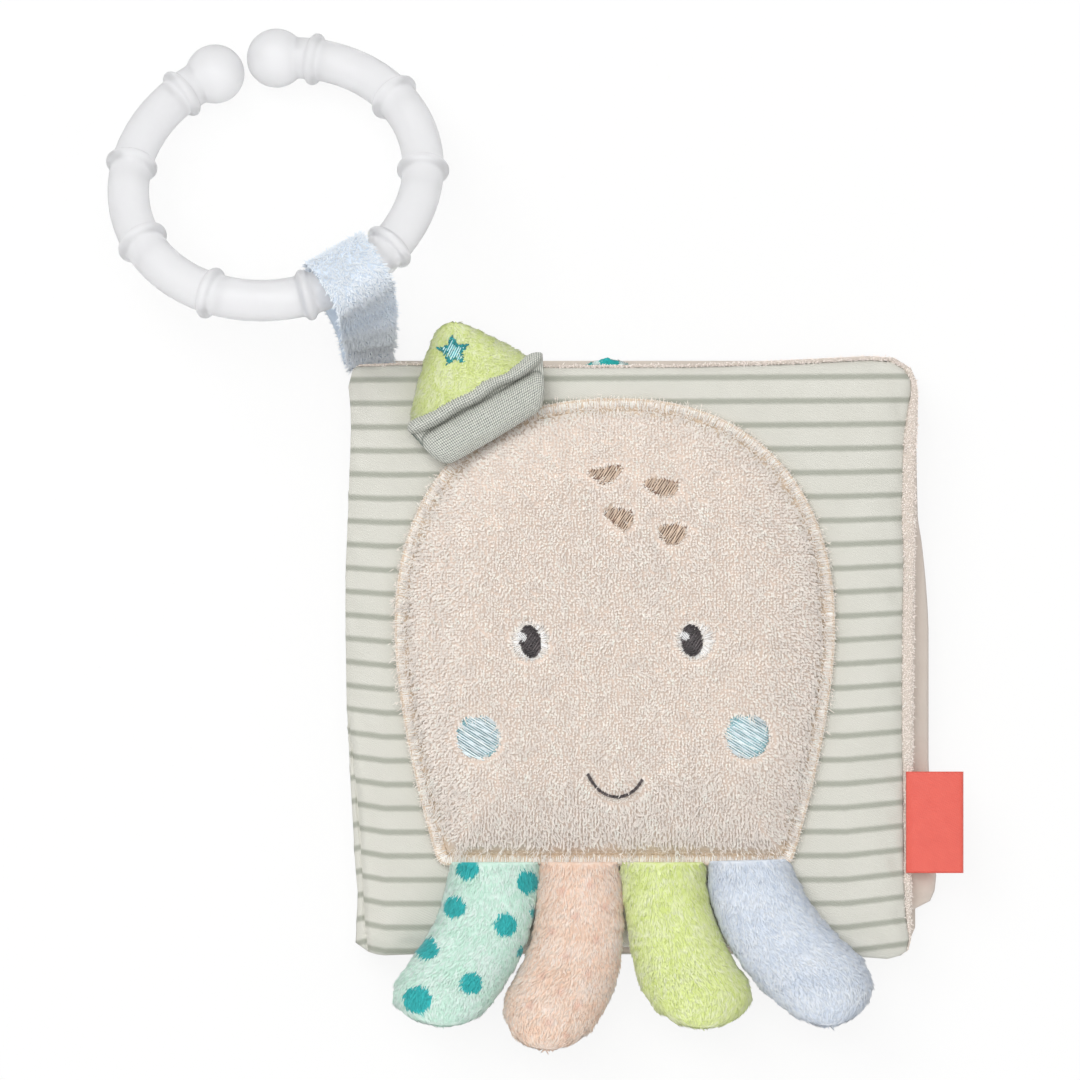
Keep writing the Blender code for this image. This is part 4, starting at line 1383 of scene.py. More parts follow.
        cloths = []
        for side, face, facing, seed in (("front", 10.85, Facing.UP, 21), ("back", 6.45, Facing.DOWN, 22)):
            cloths.append(
                LeafCloth(f"page_{side}_cloth", self.page, self.page_seam, face, facing, seed, edge=5.0, cloth=0.4)
            )
            self.sew(cloths[-1], page, "page", "cream_cotton", f"page_{side}_fabric")
        LeafFilling("page", *cloths, 0.75).build(*fillings)

        outer = LeafCloth(
            "back_cover_cloth", self.squared(54.0, -57.6, 57.8, 5.0), self.back_seam, 0.05, Facing.DOWN, 31,
            swell=0.02, pucker=0.12,
        )
        self.sew(outer, stripes, "back_cover", "striped_cotton", "back_cover_fabric")
        inner = LeafCloth(
            "back_cover_inner_cloth", self.squared(56.3, -57.3, 58.7, 5.0), self.back_seam, 5.95, Facing.UP, 32,
            cloth=0.4, roll=outer,
        )
        self.sew(inner, lining, "back_cover", "cream_cotton", "back_cover_lining")
        LeafFilling("back_cover", inner, outer, 0.75).build(*fillings)
        self.build_spine(stripes)

    def build_spine(self, stripes: Finish) -> None:
        """Make the spine cloth in two halves, each curved across its hinge.

        Args:
            stripes: The outer cloth's finish.
        """
        edge = at_shares(self.cover[0], np.linspace(0, 1, 90))
        ups = np.linspace(-55.0, 54.6, 100)
        line = np.interp(ups, edge[:, 1], edge[:, 0])
        # each half's section from below, how far in and how high, then its two bodies and where it bends
        back = ((0.9, 2.7), (0.3, 4.2), (0.1, 6.0), (0.05, 7.6), (0.05, 8.75))
        front = ((0.05, 8.75), (0.05, 10.2), (0.1, 11.8), (0.25, 13.2), (0.9, 14.6))
        for half, path, first, second, start, end in (
            ("back", back, "back_cover", "page", 5.0, 9.6), ("front", front, "page", "front_cover", 9.2, 14.4)
        ):
            section = at_shares(path, np.linspace(0, 1, 13))
            points = np.empty((len(ups), len(section), 3))
            points[..., 0] = line[:, None] + section[None, :, 0] - 0.05
            points[..., 1] = ups[:, None]
            points[..., 2] = section[None, :, 1]
            flat = points.reshape(-1, 3)
            flat[:, 0] += 0.12 * ripple(flat[:, 1:], 7.0, 41)
            made = mesh_object(f"spine_cloth_{half}", flat, [grid_faces(*points.shape[:2])])
            lay_uv(made, strip_place(np.stack([flat[:, 2] - 67.0, flat[:, 1]], 1)))
            apply_modifier(made, "SOLIDIFY", thickness=0.45 * MM, offset=-1.0)
            ends = np.array([[-56.5, 0.0, start], [-56.5, 0.0, end]])
            bend_piece(made, stripes, (first, second), ends, "striped_cotton", f"spine_{half}_half")


# ---------------------------------------------------------------- ribbons


def bend_piece(
    piece: Piece, finish: Finish, bodies: tuple[str, str], ends: Array, slot: str, *nodes: str
) -> None:
    """Dress a sewn-on piece in place and let it stand for its CAD nodes; it is put on no body.

    Args:
        piece: The mesh object.
        finish: Its finish.
        bodies: The body that holds it, and its own.
        ends: Where the bend starts and where it ends; not used.
        slot: Its material slot; not used.
        nodes: The CAD nodes it takes the place of.
    """
    piece.data.materials.append(finish)
    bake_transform(piece)
    if nodes:
        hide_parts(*nodes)
    LOG.info("%s bends from %s to %s", piece.name, *bodies)


def ribbon(name: str, middles: Array, halves: Array, thickness: float, columns: int) -> Piece:
    """Make a band of cloth along a line.

    Args:
        name: The object's name.
        middles: The line's points.
        halves: From the line to the band's one side, at each point.
        thickness: The cloth's thickness.
        columns: Points across.

    Returns:
        The closed object, with a UV map in millimetres.
    """
    shares = np.linspace(-1, 1, columns)
    points = middles[:, None] + halves[:, None] * shares[None, :, None]
    made = mesh_object(name, points.reshape(-1, 3), [grid_faces(len(middles), columns)])
    along = np.repeat(travelled(middles), columns)
    lay_uv(made, np.stack([(lengths(halves)[:, None] * shares).ravel(), along], 1))
    apply_modifier(made, "SOLIDIFY", thickness=thickness * MM, offset=0.0)
    return made


@dataclass
class SideLabel:
    """A folded tape, sewn in the front cover's right seam; its face is left bare."""

    inner: float = 53.9
    outer: float = 65.3
    low: float = -41.4
    high: float = -21.6
    under: float = 14.75
    over: float = 15.62
    tape: float = 0.34

    def build(self, tape: Finish) -> None:
        """Make the label.

        Args:
            tape: The tape's finish.
        """
        radius = (self.over - self.under) / 2
        turns = np.radians(np.linspace(-80, 80, 9))
        bend = around_at(turns) * radius + [self.outer - radius, self.under + radius]
        low = [(self.inner + 0.6, self.under), (self.inner + 3.0, self.under), (self.outer - 1.2, self.under + 0.02)]
        high = [(self.outer - 1.4, self.over), (self.inner + 5.0, self.over + 0.05)]
        high += [(self.inner + 1.6, self.over - 0.1), (self.inner + 0.4, self.over - 0.55)]
        path = at_shares(np.concatenate([low, bend, high]), np.linspace(0, 1, 64))
        middles = np.stack([path[:, 0], np.full(len(path), (self.low + self.high) / 2), path[:, 1]], 1)
        middles[:, 2] += 0.05 * ripple(path, 6.0, 51)
        halves = np.broadcast_to([0.0, (self.low - self.high) / 2, 0.0], middles.shape)
        piece = ribbon("label_tape", middles, halves, self.tape, 40)
        ends = np.array([[54.5, -31.5, 15.0], [60.0, -31.5, 15.0]])
        bend_piece(piece, tape, ("front_cover", "label"), ends, "red_tape", "side_label")


@dataclass
class Strap:
    """Light blue velour ribbon, sewn to the back cover and folded round the ring's tube."""

    hold: tuple[float, float, float] = (-53.96, 74.50, 37.84)
    run: tuple[float, float, float] = (0.8517, 0.4852, -0.1981)
    foot: tuple[float, float, float] = (-51.0, 61.1, 3.0)
    wide: float = 12.2
    foot_wide: float = 8.4
    thickness: float = 1.1
    loop: float = 5.55
    tail: float = 3.2
    nap: float = 0.9
    tone: str = "#E2EFFE"
    # the paler blue is painted light on the top fold and over the low part of the nap
    light: str = "#F2F8FF"

    def line(self) -> tuple[Array, Array]:
        """Find the ribbon's middle line and its half widths.

        Returns:
            Points along the line, and the way to the band's one side at each.
        """
        hold, run, foot = (np.array(v) for v in (self.hold, self.run, self.foot))
        length = np.linalg.norm(foot - hold)
        down = unit(foot - hold)
        aside = unit(np.cross(run, down))
        apart = (self.thickness + 0.5) / 2
        path = []
        for step in np.arange(40) / 40:
            path.append((length * (1 - step), apart + (self.loop - apart) * step**0.8))
        for turn in np.linspace(math.pi / 2, 3 * math.pi / 2, 26):
            path.append((self.loop * math.cos(turn), self.loop * math.sin(turn)))
        path += [(along, -away) for along, away in reversed(path[:40])]
        path = at_shares(path, np.linspace(0, 1, 130))
        middles = hold + path[:, :1] * down + path[:, 1:] * aside
        # both tails run on into the back cover's seam
        late = np.clip((path[:, 0] - length * 0.8) / (length * 0.2), 0, 1) ** 2
        middles[:, 1] -= self.tail * late
        low = np.clip(path[:, :1] / length, 0, 1)
        padded = np.concatenate([middles[:1], middles, middles[-1:]])
        way = unit(padded[2:] - padded[:-2])
        across = np.array(run) * (1 - low) + np.array([1.0, 0.0, 0.0]) * low
        across = unit(across - way * (across * way).sum(1, keepdims=True))
        return middles, across * (self.wide + (self.foot_wide - self.wide) * low) / 2

    def build(self, velour: Finish) -> None:
        """Make the ribbon and its nap.

        Args:
            velour: The velour's finish.
        """
        middles, halves = self.line()
        way = np.gradient(middles, axis=0)
        normal = unit(np.cross(halves, way))
        outward = normal * np.sign(((middles - middles.mean(0)) * normal).sum(1).mean() or 1.0)
        middles = middles + outward * (0.25 * ripple(middles[:, [1, 2]], 9.0, 61))[:, None]
        piece = ribbon("strap_ribbon", middles, halves, self.thickness, 22)
        # the ribbon under the nap is painted a little darker: painted shade beneath the nap
        paint(piece, np.broadcast_to(rgb(self.tone) * 0.9, (len(piece.data.vertices), 3)))
        ends = np.array([self.foot, self.foot + (np.array(self.hold) - self.foot) * 0.75])
        bend_piece(piece, velour, ("back_cover", "strap"), ends, "blue_velour", "strap_loop")
        rng = np.random.default_rng(62)
        count = 15000
        along, across = rng.uniform(0, len(middles) - 1.001, count), rng.uniform(-1, 1, count)
        middle, half = between_rows(middles, along), between_rows(halves, along)
        out, go = outward[along.astype(int)], unit(way[along.astype(int)])
        go = go * np.where(go[:, 1:2] > 0, -1, 1)
        roots = middle + half * across[:, None] + out * self.thickness * 0.42
        side = unit(half) * (across**5)[:, None]
        lean = go * 0.6 + side * 0.9 + rng.normal(0, 0.3, (count, 3))
        tips = roots + (out * 0.55 + lean) * self.nap * rng.uniform(0.7, 1.2, (count, 1))
        tone, light = rgb(self.tone), rgb(self.light)
        # the nap is painted paler towards the top fold and over the low part: painted light
        share = np.clip((middle[:, 2:3] - 24) / 18, 0, 1) + rng.normal(0, 0.2, (count, 1))
        share += np.clip((30 - middle[:, 2:3]) / 8, 0, 1.2)
        colours = tone + (light - tone) * np.clip(share, 0, 1)
        shade = unit(out * 0.15 + np.array([0.0, 0.25, 1.0]))
        bent, widths = (roots + tips) / 2 + out * 0.08, rng.uniform(0.18, 0.28, count)
        nap = Pile(roots, bent, tips, widths, colours, shade, 0.96, 1.04, 0.12).mesh("strap_nap")
        bend_piece(nap, velour, ("back_cover", "strap"), ends, "blue_velour")


@dataclass
class ClipRing:
    """One moulded ring: a round rod bent nearly closed, nine collars along it and a ball on each end."""

    middle: tuple[float, float, float] = (-68.7, 94.0, 22.23)
    radius: float = 29.0
    rod: float = 4.05
    collar: float = 5.15
    collar_wide: float = 2.3
    ball: float = 5.8
    mouth: float = 92.0
    turn: float = 12.9
    tilt: float = 35.0
    collars: int = 9

    def build(self, plastic: Finish) -> None:
        """Make the ring from a spun rod, collars and balls, and melt them into one.

        Args:
            plastic: The plastic's finish.
        """
        half_mouth = math.asin((2 * self.ball + 0.8) / 2 / self.radius)
        start = math.radians(self.mouth) + half_mouth
        span = TURN - 2 * half_mouth
        reach = self.radius * MM
        bpy.ops.object.select_all(action="DESELECT")
        bpy.ops.mesh.primitive_circle_add(
            vertices=40, radius=self.rod * MM, fill_type="NGON", location=(reach, 0, 0), rotation=(math.pi / 2, 0, 0)
        )
        rod = bpy.context.object
        bpy.ops.object.transform_apply(location=True, rotation=True, scale=True)
        bpy.ops.object.mode_set(mode="EDIT")
        bpy.ops.mesh.select_all(action="SELECT")
        bpy.ops.mesh.spin(steps=110, angle=span, center=(0, 0, 0), axis=(0, 0, 1))
        bpy.ops.object.mode_set(mode="OBJECT")
        turn_outwards(rod)
        turned = self.spun_way(rod)
        parts = [rod]
        for end in (0.0, span):
            place = (reach * math.cos(turned * end), reach * math.sin(turned * end), 0)
            bpy.ops.mesh.primitive_uv_sphere_add(segments=48, ring_count=24, radius=self.ball * MM, location=place)
            parts.append(bpy.context.object)
        ball_reach = math.sqrt(self.ball**2 - self.rod**2) / self.radius
        first = ball_reach + 3.1 * self.collar_wide / 2 / self.radius
        for number in range(self.collars):
            angle = turned * (first + (span - 2 * first) * number / (self.collars - 1))
            bpy.ops.mesh.primitive_torus_add(
                major_segments=56, minor_segments=20, major_radius=(self.collar - 1.1) * MM, minor_radius=1.1 * MM,
                location=(reach * math.cos(angle), reach * math.sin(angle), 0), rotation=(math.pi / 2, 0, angle),
            )
            parts.append(bpy.context.object)
        make_active(rod)
        for part in parts:
            part.select_set(True)
        bpy.ops.object.transform_apply(location=True, rotation=True, scale=True)
        bpy.ops.object.join()
        rod.name = rod.data.name = "ring_moulding"
        apply_modifier(rod, "REMESH", mode="VOXEL", voxel_size=0.0003, use_smooth_shade=True)
        apply_modifier(rod, "SMOOTH", factor=0.6, iterations=4)
        lean = Matrix.Rotation(math.radians(self.turn), 4, "Z") @ Matrix.Rotation(-math.radians(self.tilt), 4, "X")
        spin = Matrix.Rotation(start, 4, "Z")
        if turned < 0:
            spin = spin @ Matrix.Rotation(span, 4, "Z")
        rod.data.transform(Matrix.Translation(Vector(self.middle) * MM) @ lean @ spin)
        rod.matrix_world = Matrix.Identity(4)
        finish_piece(rod, plastic, "ring", "clear_plastic", "clip_ring")

    def spun_way(self, rod: Piece) -> float:
        """Tell which way the spin went round.

        Args:
            rod: The spun rod.

        Returns:
            1 for anticlockwise, -1 for clockwise.
        """
        places = read(rod.data.vertices, "co", 3)
        turns = np.arctan2(places[:, 1], places[:, 0])
        return 1.0 if np.any((turns > 0.1) & (turns < 0.3)) else -1.0


# ---------------------------------------------------------------- sea creature


@dataclass
class Head:
    """The terry head: a bell-shaped pad, overcast round its edge, with an embroidered face."""

    middle: float = -2.6
    low: float = -40.0
    high: float = 51.3
    half: float = 43.0
    flat: float = 18.35
    crown: float = 25.6
    border: float = 3.4
    edge: float = 14.0
    under: float = 17.62
    rim: float = 17.95
    stitch_low: float = 18.02
    stitch_high: float = 18.42
    inner_row: float = 18.5
    spacing: float = 0.6
    fibres: int = 7000
    terry: str = "#FCF2E9"
    # the skin's tone between the loops, darker than the loops: painted shade between them
    gap: str = "#E3D2C5"
    cream: str = "#FAF2EA"
    tan: str = "#DCC8B2"
    smile: Path = (
        (-7.9, -21.9), (-7, -23.6), (-5.5, -25.3), (-3.7, -26.2), (-2, -26.5), (0, -25.9), (1.6, -24.7), (2.7, -23),
    )
    spots: tuple[Path, ...] = (
        (
            (-8, 37.3), (-7.4, 36.3), (-5.9, 34.8), (-4.1, 34.05), (-1.95, 36), (-0.9, 38.1), (-2.3, 38.4),
        ),
        (
            (2.4, 34.5), (3.8, 33.3), (5.6, 32.2), (7.4, 31.6), (9.2, 32.7), (10.1, 34.4), (9.5, 35.3), (6.8, 35.7),
            (3.8, 35.9),
        ),
        (
            (-5.1, 29.1), (-4.1, 27.9), (-2.3, 26.2), (-0.7, 25.3), (0.8, 26.7), (1.1, 28.2), (0.9, 29.5),
            (-2.3, 30.1), (-4.4, 30.4),
        ),
        (
            (5.1, 26.1), (6.5, 23.6), (8.3, 22.3), (10.4, 23.3), (11.3, 24.8), (11.5, 26.3), (9.5, 27.1),
            (6.8, 26.8),
        ),
    )

    def outline(self) -> Array:
        """Draw the bell shape.

        Returns:
            The closed outline, anticlockwise from the lower right.
        """
        shares = np.concatenate([np.linspace(0, 0.9, 60), 1 - 0.1 * np.linspace(1, 0, 40)[1:] ** 2])
        away = 2 * shares - 1
        rounded = (1 - np.clip(away, 0, 1) ** 2.3) ** (1 / 2.3)
        wide = self.half * np.where(shares > 0.5, rounded, 1 - 0.2 * np.abs(away) ** 1.6)
        ups = self.low + (self.high - self.low) * shares
        right = np.stack([self.middle + wide, ups], 1)
        left = np.stack([self.middle - wide, ups], 1)[::-1]
        line = np.concatenate([right, left[1:]])
        bottom = np.stack([np.linspace(left[-1, 0], right[0, 0], 40), np.full(40, self.low)], 1)[1:-1]
        closed = np.concatenate([line, bottom])
        closed = at_shares(np.concatenate([closed, closed[:1]]), np.linspace(0, 1, 361))[:-1]
        for _ in range(5):
            closed = eased(closed)
        return closed

    def height(self, places: Array) -> Array:
        """Give the terry ground's height.

        Args:
            places: Points in the plane.

        Returns:
            One height for each.
        """
        distance = edge_distance(places, self.outline()[::2])
        swell = rise(np.maximum(distance - self.border + 0.5, 0), self.edge, 1.5)
        groove = np.exp(-(((distance - self.border + 0.2) / 0.5) ** 2)) * np.clip((-34 - places[:, 1]) / 3, 0, 1)
        full = self.flat + (self.crown - self.flat) * swell - 0.35 * groove
        full += 0.22 * ripple(places, 26.0, 71) * np.clip(distance / 12, 0, 1)
        # where embroidery draws the pad in: place, size and depth
        dents = [(-19.4, 3.9, 4.6, 0.5), (12.6, 4.1, 4.6, 0.5), (-29.2, -14.7, 5.2, 0.55), (23.1, -14.5, 5.2, 0.55)]
        dents += [(-2.6, -24.5, 6.4, 0.45), (-4.3, 36.5, 4.4, 0.4), (6.8, 33.9, 4.4, 0.4)]
        for x, y, size, depth in [*dents, (-1.6, 27.7, 4.0, 0.4), (8.6, 24.8, 4.0, 0.4)]:
            full -= depth * np.exp(-(lengths(places - [x, y]) / size) ** 4)
        return full

    def shapes(self) -> dict[str, Array]:
        """Draw the embroidered patches: eyes, cheeks with a small notch above, and spots.

        Returns:
            Their closed outlines by name.
        """
        made = {"white_left": ellipse(-19.2, 4.0, 3.9, 3.8), "white_right": ellipse(12.9, 4.1, 3.9, 3.7)}
        turns = np.linspace(0, TURN, 60, endpoint=False)
        notched = around_at(turns) * (1 - 0.13 * np.exp(-(((turns - 1.62) / 0.16) ** 2)))[:, None]
        made["cheek_left"] = notched * 4.4 + [-29.2, -14.7]
        made["cheek_right"] = notched * 4.45 + [23.1, -14.5]
        for index, corners in enumerate(self.spots, 1):
            shape = at_shares(np.array([*corners, corners[0]]), np.linspace(0, 1, 41))[:-1]
            for _ in range(3):
                shape = eased(shape)
            made[f"spot_{index}"] = shape
        return made

    def mouth(self) -> Array:
        """Give the mouth's line from left to right."""
        return soften(self.smile, 60, 8)

    def build(self, terry: Finish, thread: Finish) -> None:
        """Make the head, its border and its face.

        Args:
            terry: The terry's finish.
            thread: The embroidery thread's finish.
        """
        outline = self.outline()
        centre = np.array([self.middle, 4.0])
        shares = np.concatenate([[1.0, 0.994, 0.985, 0.972], np.linspace(0.955, 0.03, 44)])
        rings = centre + (outline - centre) * shares[:, None, None]
        flat = rings.reshape(-1, 2)
        top = lifted(flat, self.height(flat))
        count = len(outline)
        top[:count, 2] = self.rim
        middle = lifted(centre[None], self.height(centre[None]))
        skin = np.concatenate([top, middle, lifted(outline, self.under), lifted(centre[None], self.under)])
        around = np.arange(count)
        after = (around + 1) % count
        last, hub = (len(shares) - 1) * count, len(top)
        foot, pit = hub + 1, hub + 1 + count
        wall = np.stack([after, around, around + foot, after + foot], 1)
        ground = np.concatenate([tube_faces(len(shares), count), wall])
        upper = np.stack([around + last, after + last, np.full(count, hub)], 1)
        fans = np.concatenate([upper, np.stack([after + foot, around + foot, np.full(count, pit)], 1)])
        # the skin is tan under the border; elsewhere it takes the darker gap tone, painted shade between the loops
        away = edge_distance(skin[:, :2], outline[::2])[:, None]
        share = np.clip((away - self.border + 0.4) / 0.8, 0, 1)
        colour = rgb(self.tan) * (1 - share) + rgb(self.gap) * share
        piece = self.loops(outline).mesh("head_terry_pad", skin, (ground, fans), colour)
        finish_piece(piece, terry, "front_cover", "beige_terry", "head_terry", "head_filling")
        self.border_stitches(outline, thread)
        self.face(thread)

    def loops(self, outline: Array) -> Pile:
        """Set the terry loops, pressed flat round the embroidery.

        Args:
            outline: The head's outline.

        Returns:
            The pile.
        """
        rng = np.random.default_rng(72)
        step = self.spacing
        xs = np.arange(self.middle - 44, self.middle + 44, step)
        ys = np.arange(self.low - 1, self.high + 1, step * 0.84)
        places = np.stack(np.meshgrid(xs, ys), 2).reshape(-1, 2)
        places[:, 0] += 0.2 * ripple(places, 11.0, 76)
        places += rng.normal(0, step * 0.17, places.shape)
        places = places[inside(places, outline)]
        distance = edge_distance(places, outline[::2])
        low = np.clip((-33 - places[:, 1]) / 3, 0, 1)
        keep = distance > self.border - 0.5 + 1.3 * low + 0.25 * rng.normal(size=len(places))
        keep |= (distance > 1.5) & (rng.random(len(places)) < 0.3) & (places[:, 1] > -34)
        places, distance = places[keep], distance[keep]
        near = self.bare(places)
        keep = near > -0.3
        places, distance, near = places[keep], distance[keep], near[keep]
        count, shift = len(places), 0.25
        roots = lifted(places, self.height(places) - 0.1)
        slopes, leans = [], []
        for step_x, step_y in ((shift, 0.0), (0.0, shift)):
            moved = places + [step_x, step_y]
            slopes.append((self.height(moved) - roots[:, 2] - 0.1) / shift)
            leans.append((self.bare(moved) - near) / shift)
        normal = unit(np.stack([-slopes[0], -slopes[1], np.ones(count)], 1))
        # pile leans over the edge of the embroidery and lies away from it further out
        lean = lifted(np.stack(leans, 1), 0.0) * np.where(near < 0.7, -0.9, 0.7 * np.exp(-near / 1.6))[:, None]
        tall = np.clip(0.55 + near * 0.35, 0.5, 1.0) * np.clip(0.6 + (distance - 1.6) * 0.3, 0.6, 1.0)
        tall *= rng.uniform(0.8, 1.15, count) * (1 + 0.04 * np.clip((-12 - places[:, 1]) / 20, 0, 1))
        drift = ripple(places, 14.0, 73) + 0.35 * ripple(places, 3.2, 77)
        flow = np.stack([0.22 * drift, -0.5 - 0.1 * ripple(places, 4.0, 78), np.zeros(count)], 1)
        flow += lean + rng.normal(0, 0.2, (count, 3)) * [1, 1, 0]
        middles = roots + normal * (0.68 * tall)[:, None] + flow * (0.25 * tall)[:, None]
        tips = roots + normal * (0.85 * tall)[:, None] + flow * (0.7 * tall)[:, None]
        base = rgb(self.terry)
        tone = base * (1 + 0.03 * rng.normal(size=(count, 1)) + 0.025 * ripple(places, 4.0, 74)[:, None])
        normal = normal * 0.4 + [0.0, 0.0, 0.6]
        wide = rng.uniform(0.42, 0.56, count) * (1 - 0.12 * np.clip((-18 - places[:, 1]) / 12, 0, 1))
        # fine broken fibres over the loops, and more of them over the border
        rim = np.flatnonzero(distance < self.border + 1.2)
        weight = 0.4 + 0.3 * np.clip((-14 - places[:, 1]) / 12, 0, 1)
        pick = np.concatenate([rng.choice(count, count, p=weight / weight.sum()), rng.choice(rim, self.fibres)])
        start = middles[pick] + rng.normal(0, 0.2, (len(pick), 3))
        way = flow[pick] + rng.normal(0, 0.5, (len(pick), 3)) * [1, 1, 0.3]
        last = slice(-self.fibres, None)
        outer = lifted(unit(places[pick[last]] - [self.middle, 6.0]), 0.0)
        start[last] += outer * rng.uniform(-0.4, 2.4, (self.fibres, 1)) - [0, 0, 0.25]
        way[last] = outer * 0.5 + way[last] * 0.7
        thin, tints = rng.uniform(0.1, 0.17, len(pick)), tone[pick] * 1.03
        fluff = (start, start + way * 0.45 + [0, 0, 0.12], start + way * 0.95, thin, tints, normal[pick])
        loops = (roots, middles, tips, wide, tone, normal)
        return Pile(*[np.concatenate(pair) for pair in zip(loops, fluff)], 0.93, 1.04, 0.17)

    def bare(self, places: Array) -> Array:
        """Measure how bare the terry is.

        Args:
            places: Points in the plane.

        Returns:
            How far each is from the embroidery, negative within it.
        """
        near = np.full(len(places), 9.0)
        for shape in self.shapes().values():
            away = edge_distance(places, shape)
            near = np.minimum(near, np.where(inside(places, shape), -away, away))
        line = self.mouth()
        return np.minimum(near, np.linalg.norm(places[:, None] - line[None, ::2], axis=2).min(1) - 0.55)

    def border_stitches(self, outline: Array, thread: Finish) -> None:
        """Sew the overcast edge, and the tan line inside it.

        Args:
            outline: The head's outline.
            thread: The thread's finish.
        """
        rng = np.random.default_rng(75)
        closed = np.concatenate([outline, outline[:1]])
        total = float(travelled(closed)[-1])
        rows = Stitches()

        def walk(shares: Array, step: float) -> tuple[Array, Array, Array, Array]:
            """Go round the head's edge.

            Args:
                shares: Shares of the way round.
                step: How far on the next place is.

            Returns:
                The places, the next ones, the way there and the way inwards.
            """
            place, ahead = at_shares(closed, shares), at_shares(closed, np.mod(shares + step / total, 1.0))
            run = unit(ahead - place)
            return place, ahead, run, left_of(run)

        # pitch, outer and inner end, lift, thread radius, tone and seed
        for pitch, outer, inner, lift, radius, tone, seed in (
            (0.21, -0.05, 1.8, 0.14, 0.11, self.cream, 1),
            (1.5, 0.1, 2.3, 0.2, 0.08, "#FFFDF9", 2),
            (0.8, -0.5, 0.5, 0.08, 0.06, "#F8EFE6", 5),
        ):
            count = int(total / pitch)
            shares = np.mod((np.arange(count) + rng.uniform(-0.2, 0.2, count)) / count, 1.0)
            place, _, run, inward = walk(shares, 0.4)
            first = place + inward * (outer + rng.normal(0, 0.12, (count, 1)))
            last = place + inward * (inner + rng.normal(0, 0.18, (count, 1)))
            last += run * rng.normal(0.1, 0.16, (count, 1))
            first, last = lifted(first, self.stitch_low), lifted(last, self.stitch_high)
            rows.add(first, last, lift, radius, tone, seed, 0.16)
        for pitch, length, depth, tone, seed in ((1.0, 0.75, 2.3, "#CBB294", 3), (0.8, 0.6, 2.7, "#EADDCD", 4)):
            count = int(total / pitch)
            place, ahead, _, inward = walk(np.arange(count) / count, length)
            inward = inward * (depth + rng.normal(0, 0.06, (count, 1)))
            keep = lengths(ahead - place) < 2 * length
            first, last = (lifted((end + inward)[keep], self.inner_row) for end in (place, ahead))
            rows.add(first, last, 0.12, 0.09, tone, seed, 0.2)
        finish_piece(rows.mesh("head_overcast_edge"), thread, "front_cover", "edge_thread", "head_edge_stitch")

    def face(self, thread: Finish) -> None:
        """Embroider the eyes, cheeks, spots and mouth.

        Args:
            thread: The thread's finish.
        """
        shapes = self.shapes()
        # each: thread slot, tone, angle, and a darker tone laid beneath as painted shade between the threads
        blue, brown = ("blue_thread", "#E4F0F4", -33, "#85AFB6"), ("brown_thread", "#D3BCA8", 56, "#7D6152")
        jobs = [(f"cheek_threads_{side}", f"cheek_{side}", f"cheek_{side}", *blue) for side in ("left", "right")]
        jobs += [(f"spot_threads_{spot}", f"forehead_spot_{spot}", f"spot_{spot}", *brown) for spot in (1, 2, 3, 4)]
        for index, (name, node, key, slot, tone, angle, ground) in enumerate(jobs):
            rows = Stitches()
            # a darker under-layer shows between the satin threads as painted shade in the gaps
            self.satin(rows, hatch(shapes[key], angle + 70, 0.5, 90 + index), 0.05, (0.1, 0.3, ground, index, 0.15))
            for layer, pitch in enumerate((0.44, 1.1)):
                lines = hatch(shapes[key], angle + 9 * layer, pitch, 80 + index + layer, 0.3)
                self.satin(rows, lines, 0.15, (0.5 + 0.15 * layer, 0.16, tone, index + 20, 0.2))
            finish_piece(rows.mesh(name), thread, "front_cover", slot, node)
        for side, oval, glint in (
            ("left", ellipse(-19.1, 3.9, 2.15, 3.2, 8), (-20.7, 4.8)),
            ("right", ellipse(12.3, 4.1, 2.15, 3.1, 4), (11.1, 5.0)),
        ):
            white, middle = shapes["white_" + side], shapes["white_" + side].mean(0)
            seed = len(side)
            rng = np.random.default_rng(seed)
            rows = Stitches()
            self.satin(rows, hatch(white, 20, 0.4, 60 + seed, 0.25), 0.1, (0.1, 0.24, "#E9E4DE", seed, 0.1))
            for tone, count in (("#FFFFFF", 80), ("#DDD8D4", 40)):
                turns = np.linspace(0, TURN, count, endpoint=False) + rng.normal(0, 0.06, count)
                way = around_at(turns)
                long, short = rng.uniform(0.85, 1.12, count), rng.uniform(0.7, 0.95, count)
                reach = 3.8 * np.where(np.cos(turns + 0.5) > -0.1, long, short)
                first, last = middle + way * 1.6, middle + way * reach[:, None]
                rows.add(self.on(first, 0.35), self.on(last, 0.1), 0.22, 0.1, tone, seed + count, 0.08)
            made = rows.mesh(f"eye_white_threads_{side}")
            finish_piece(made, thread, "front_cover", "white_thread", f"eye_white_{side}")
            rows = Stitches()
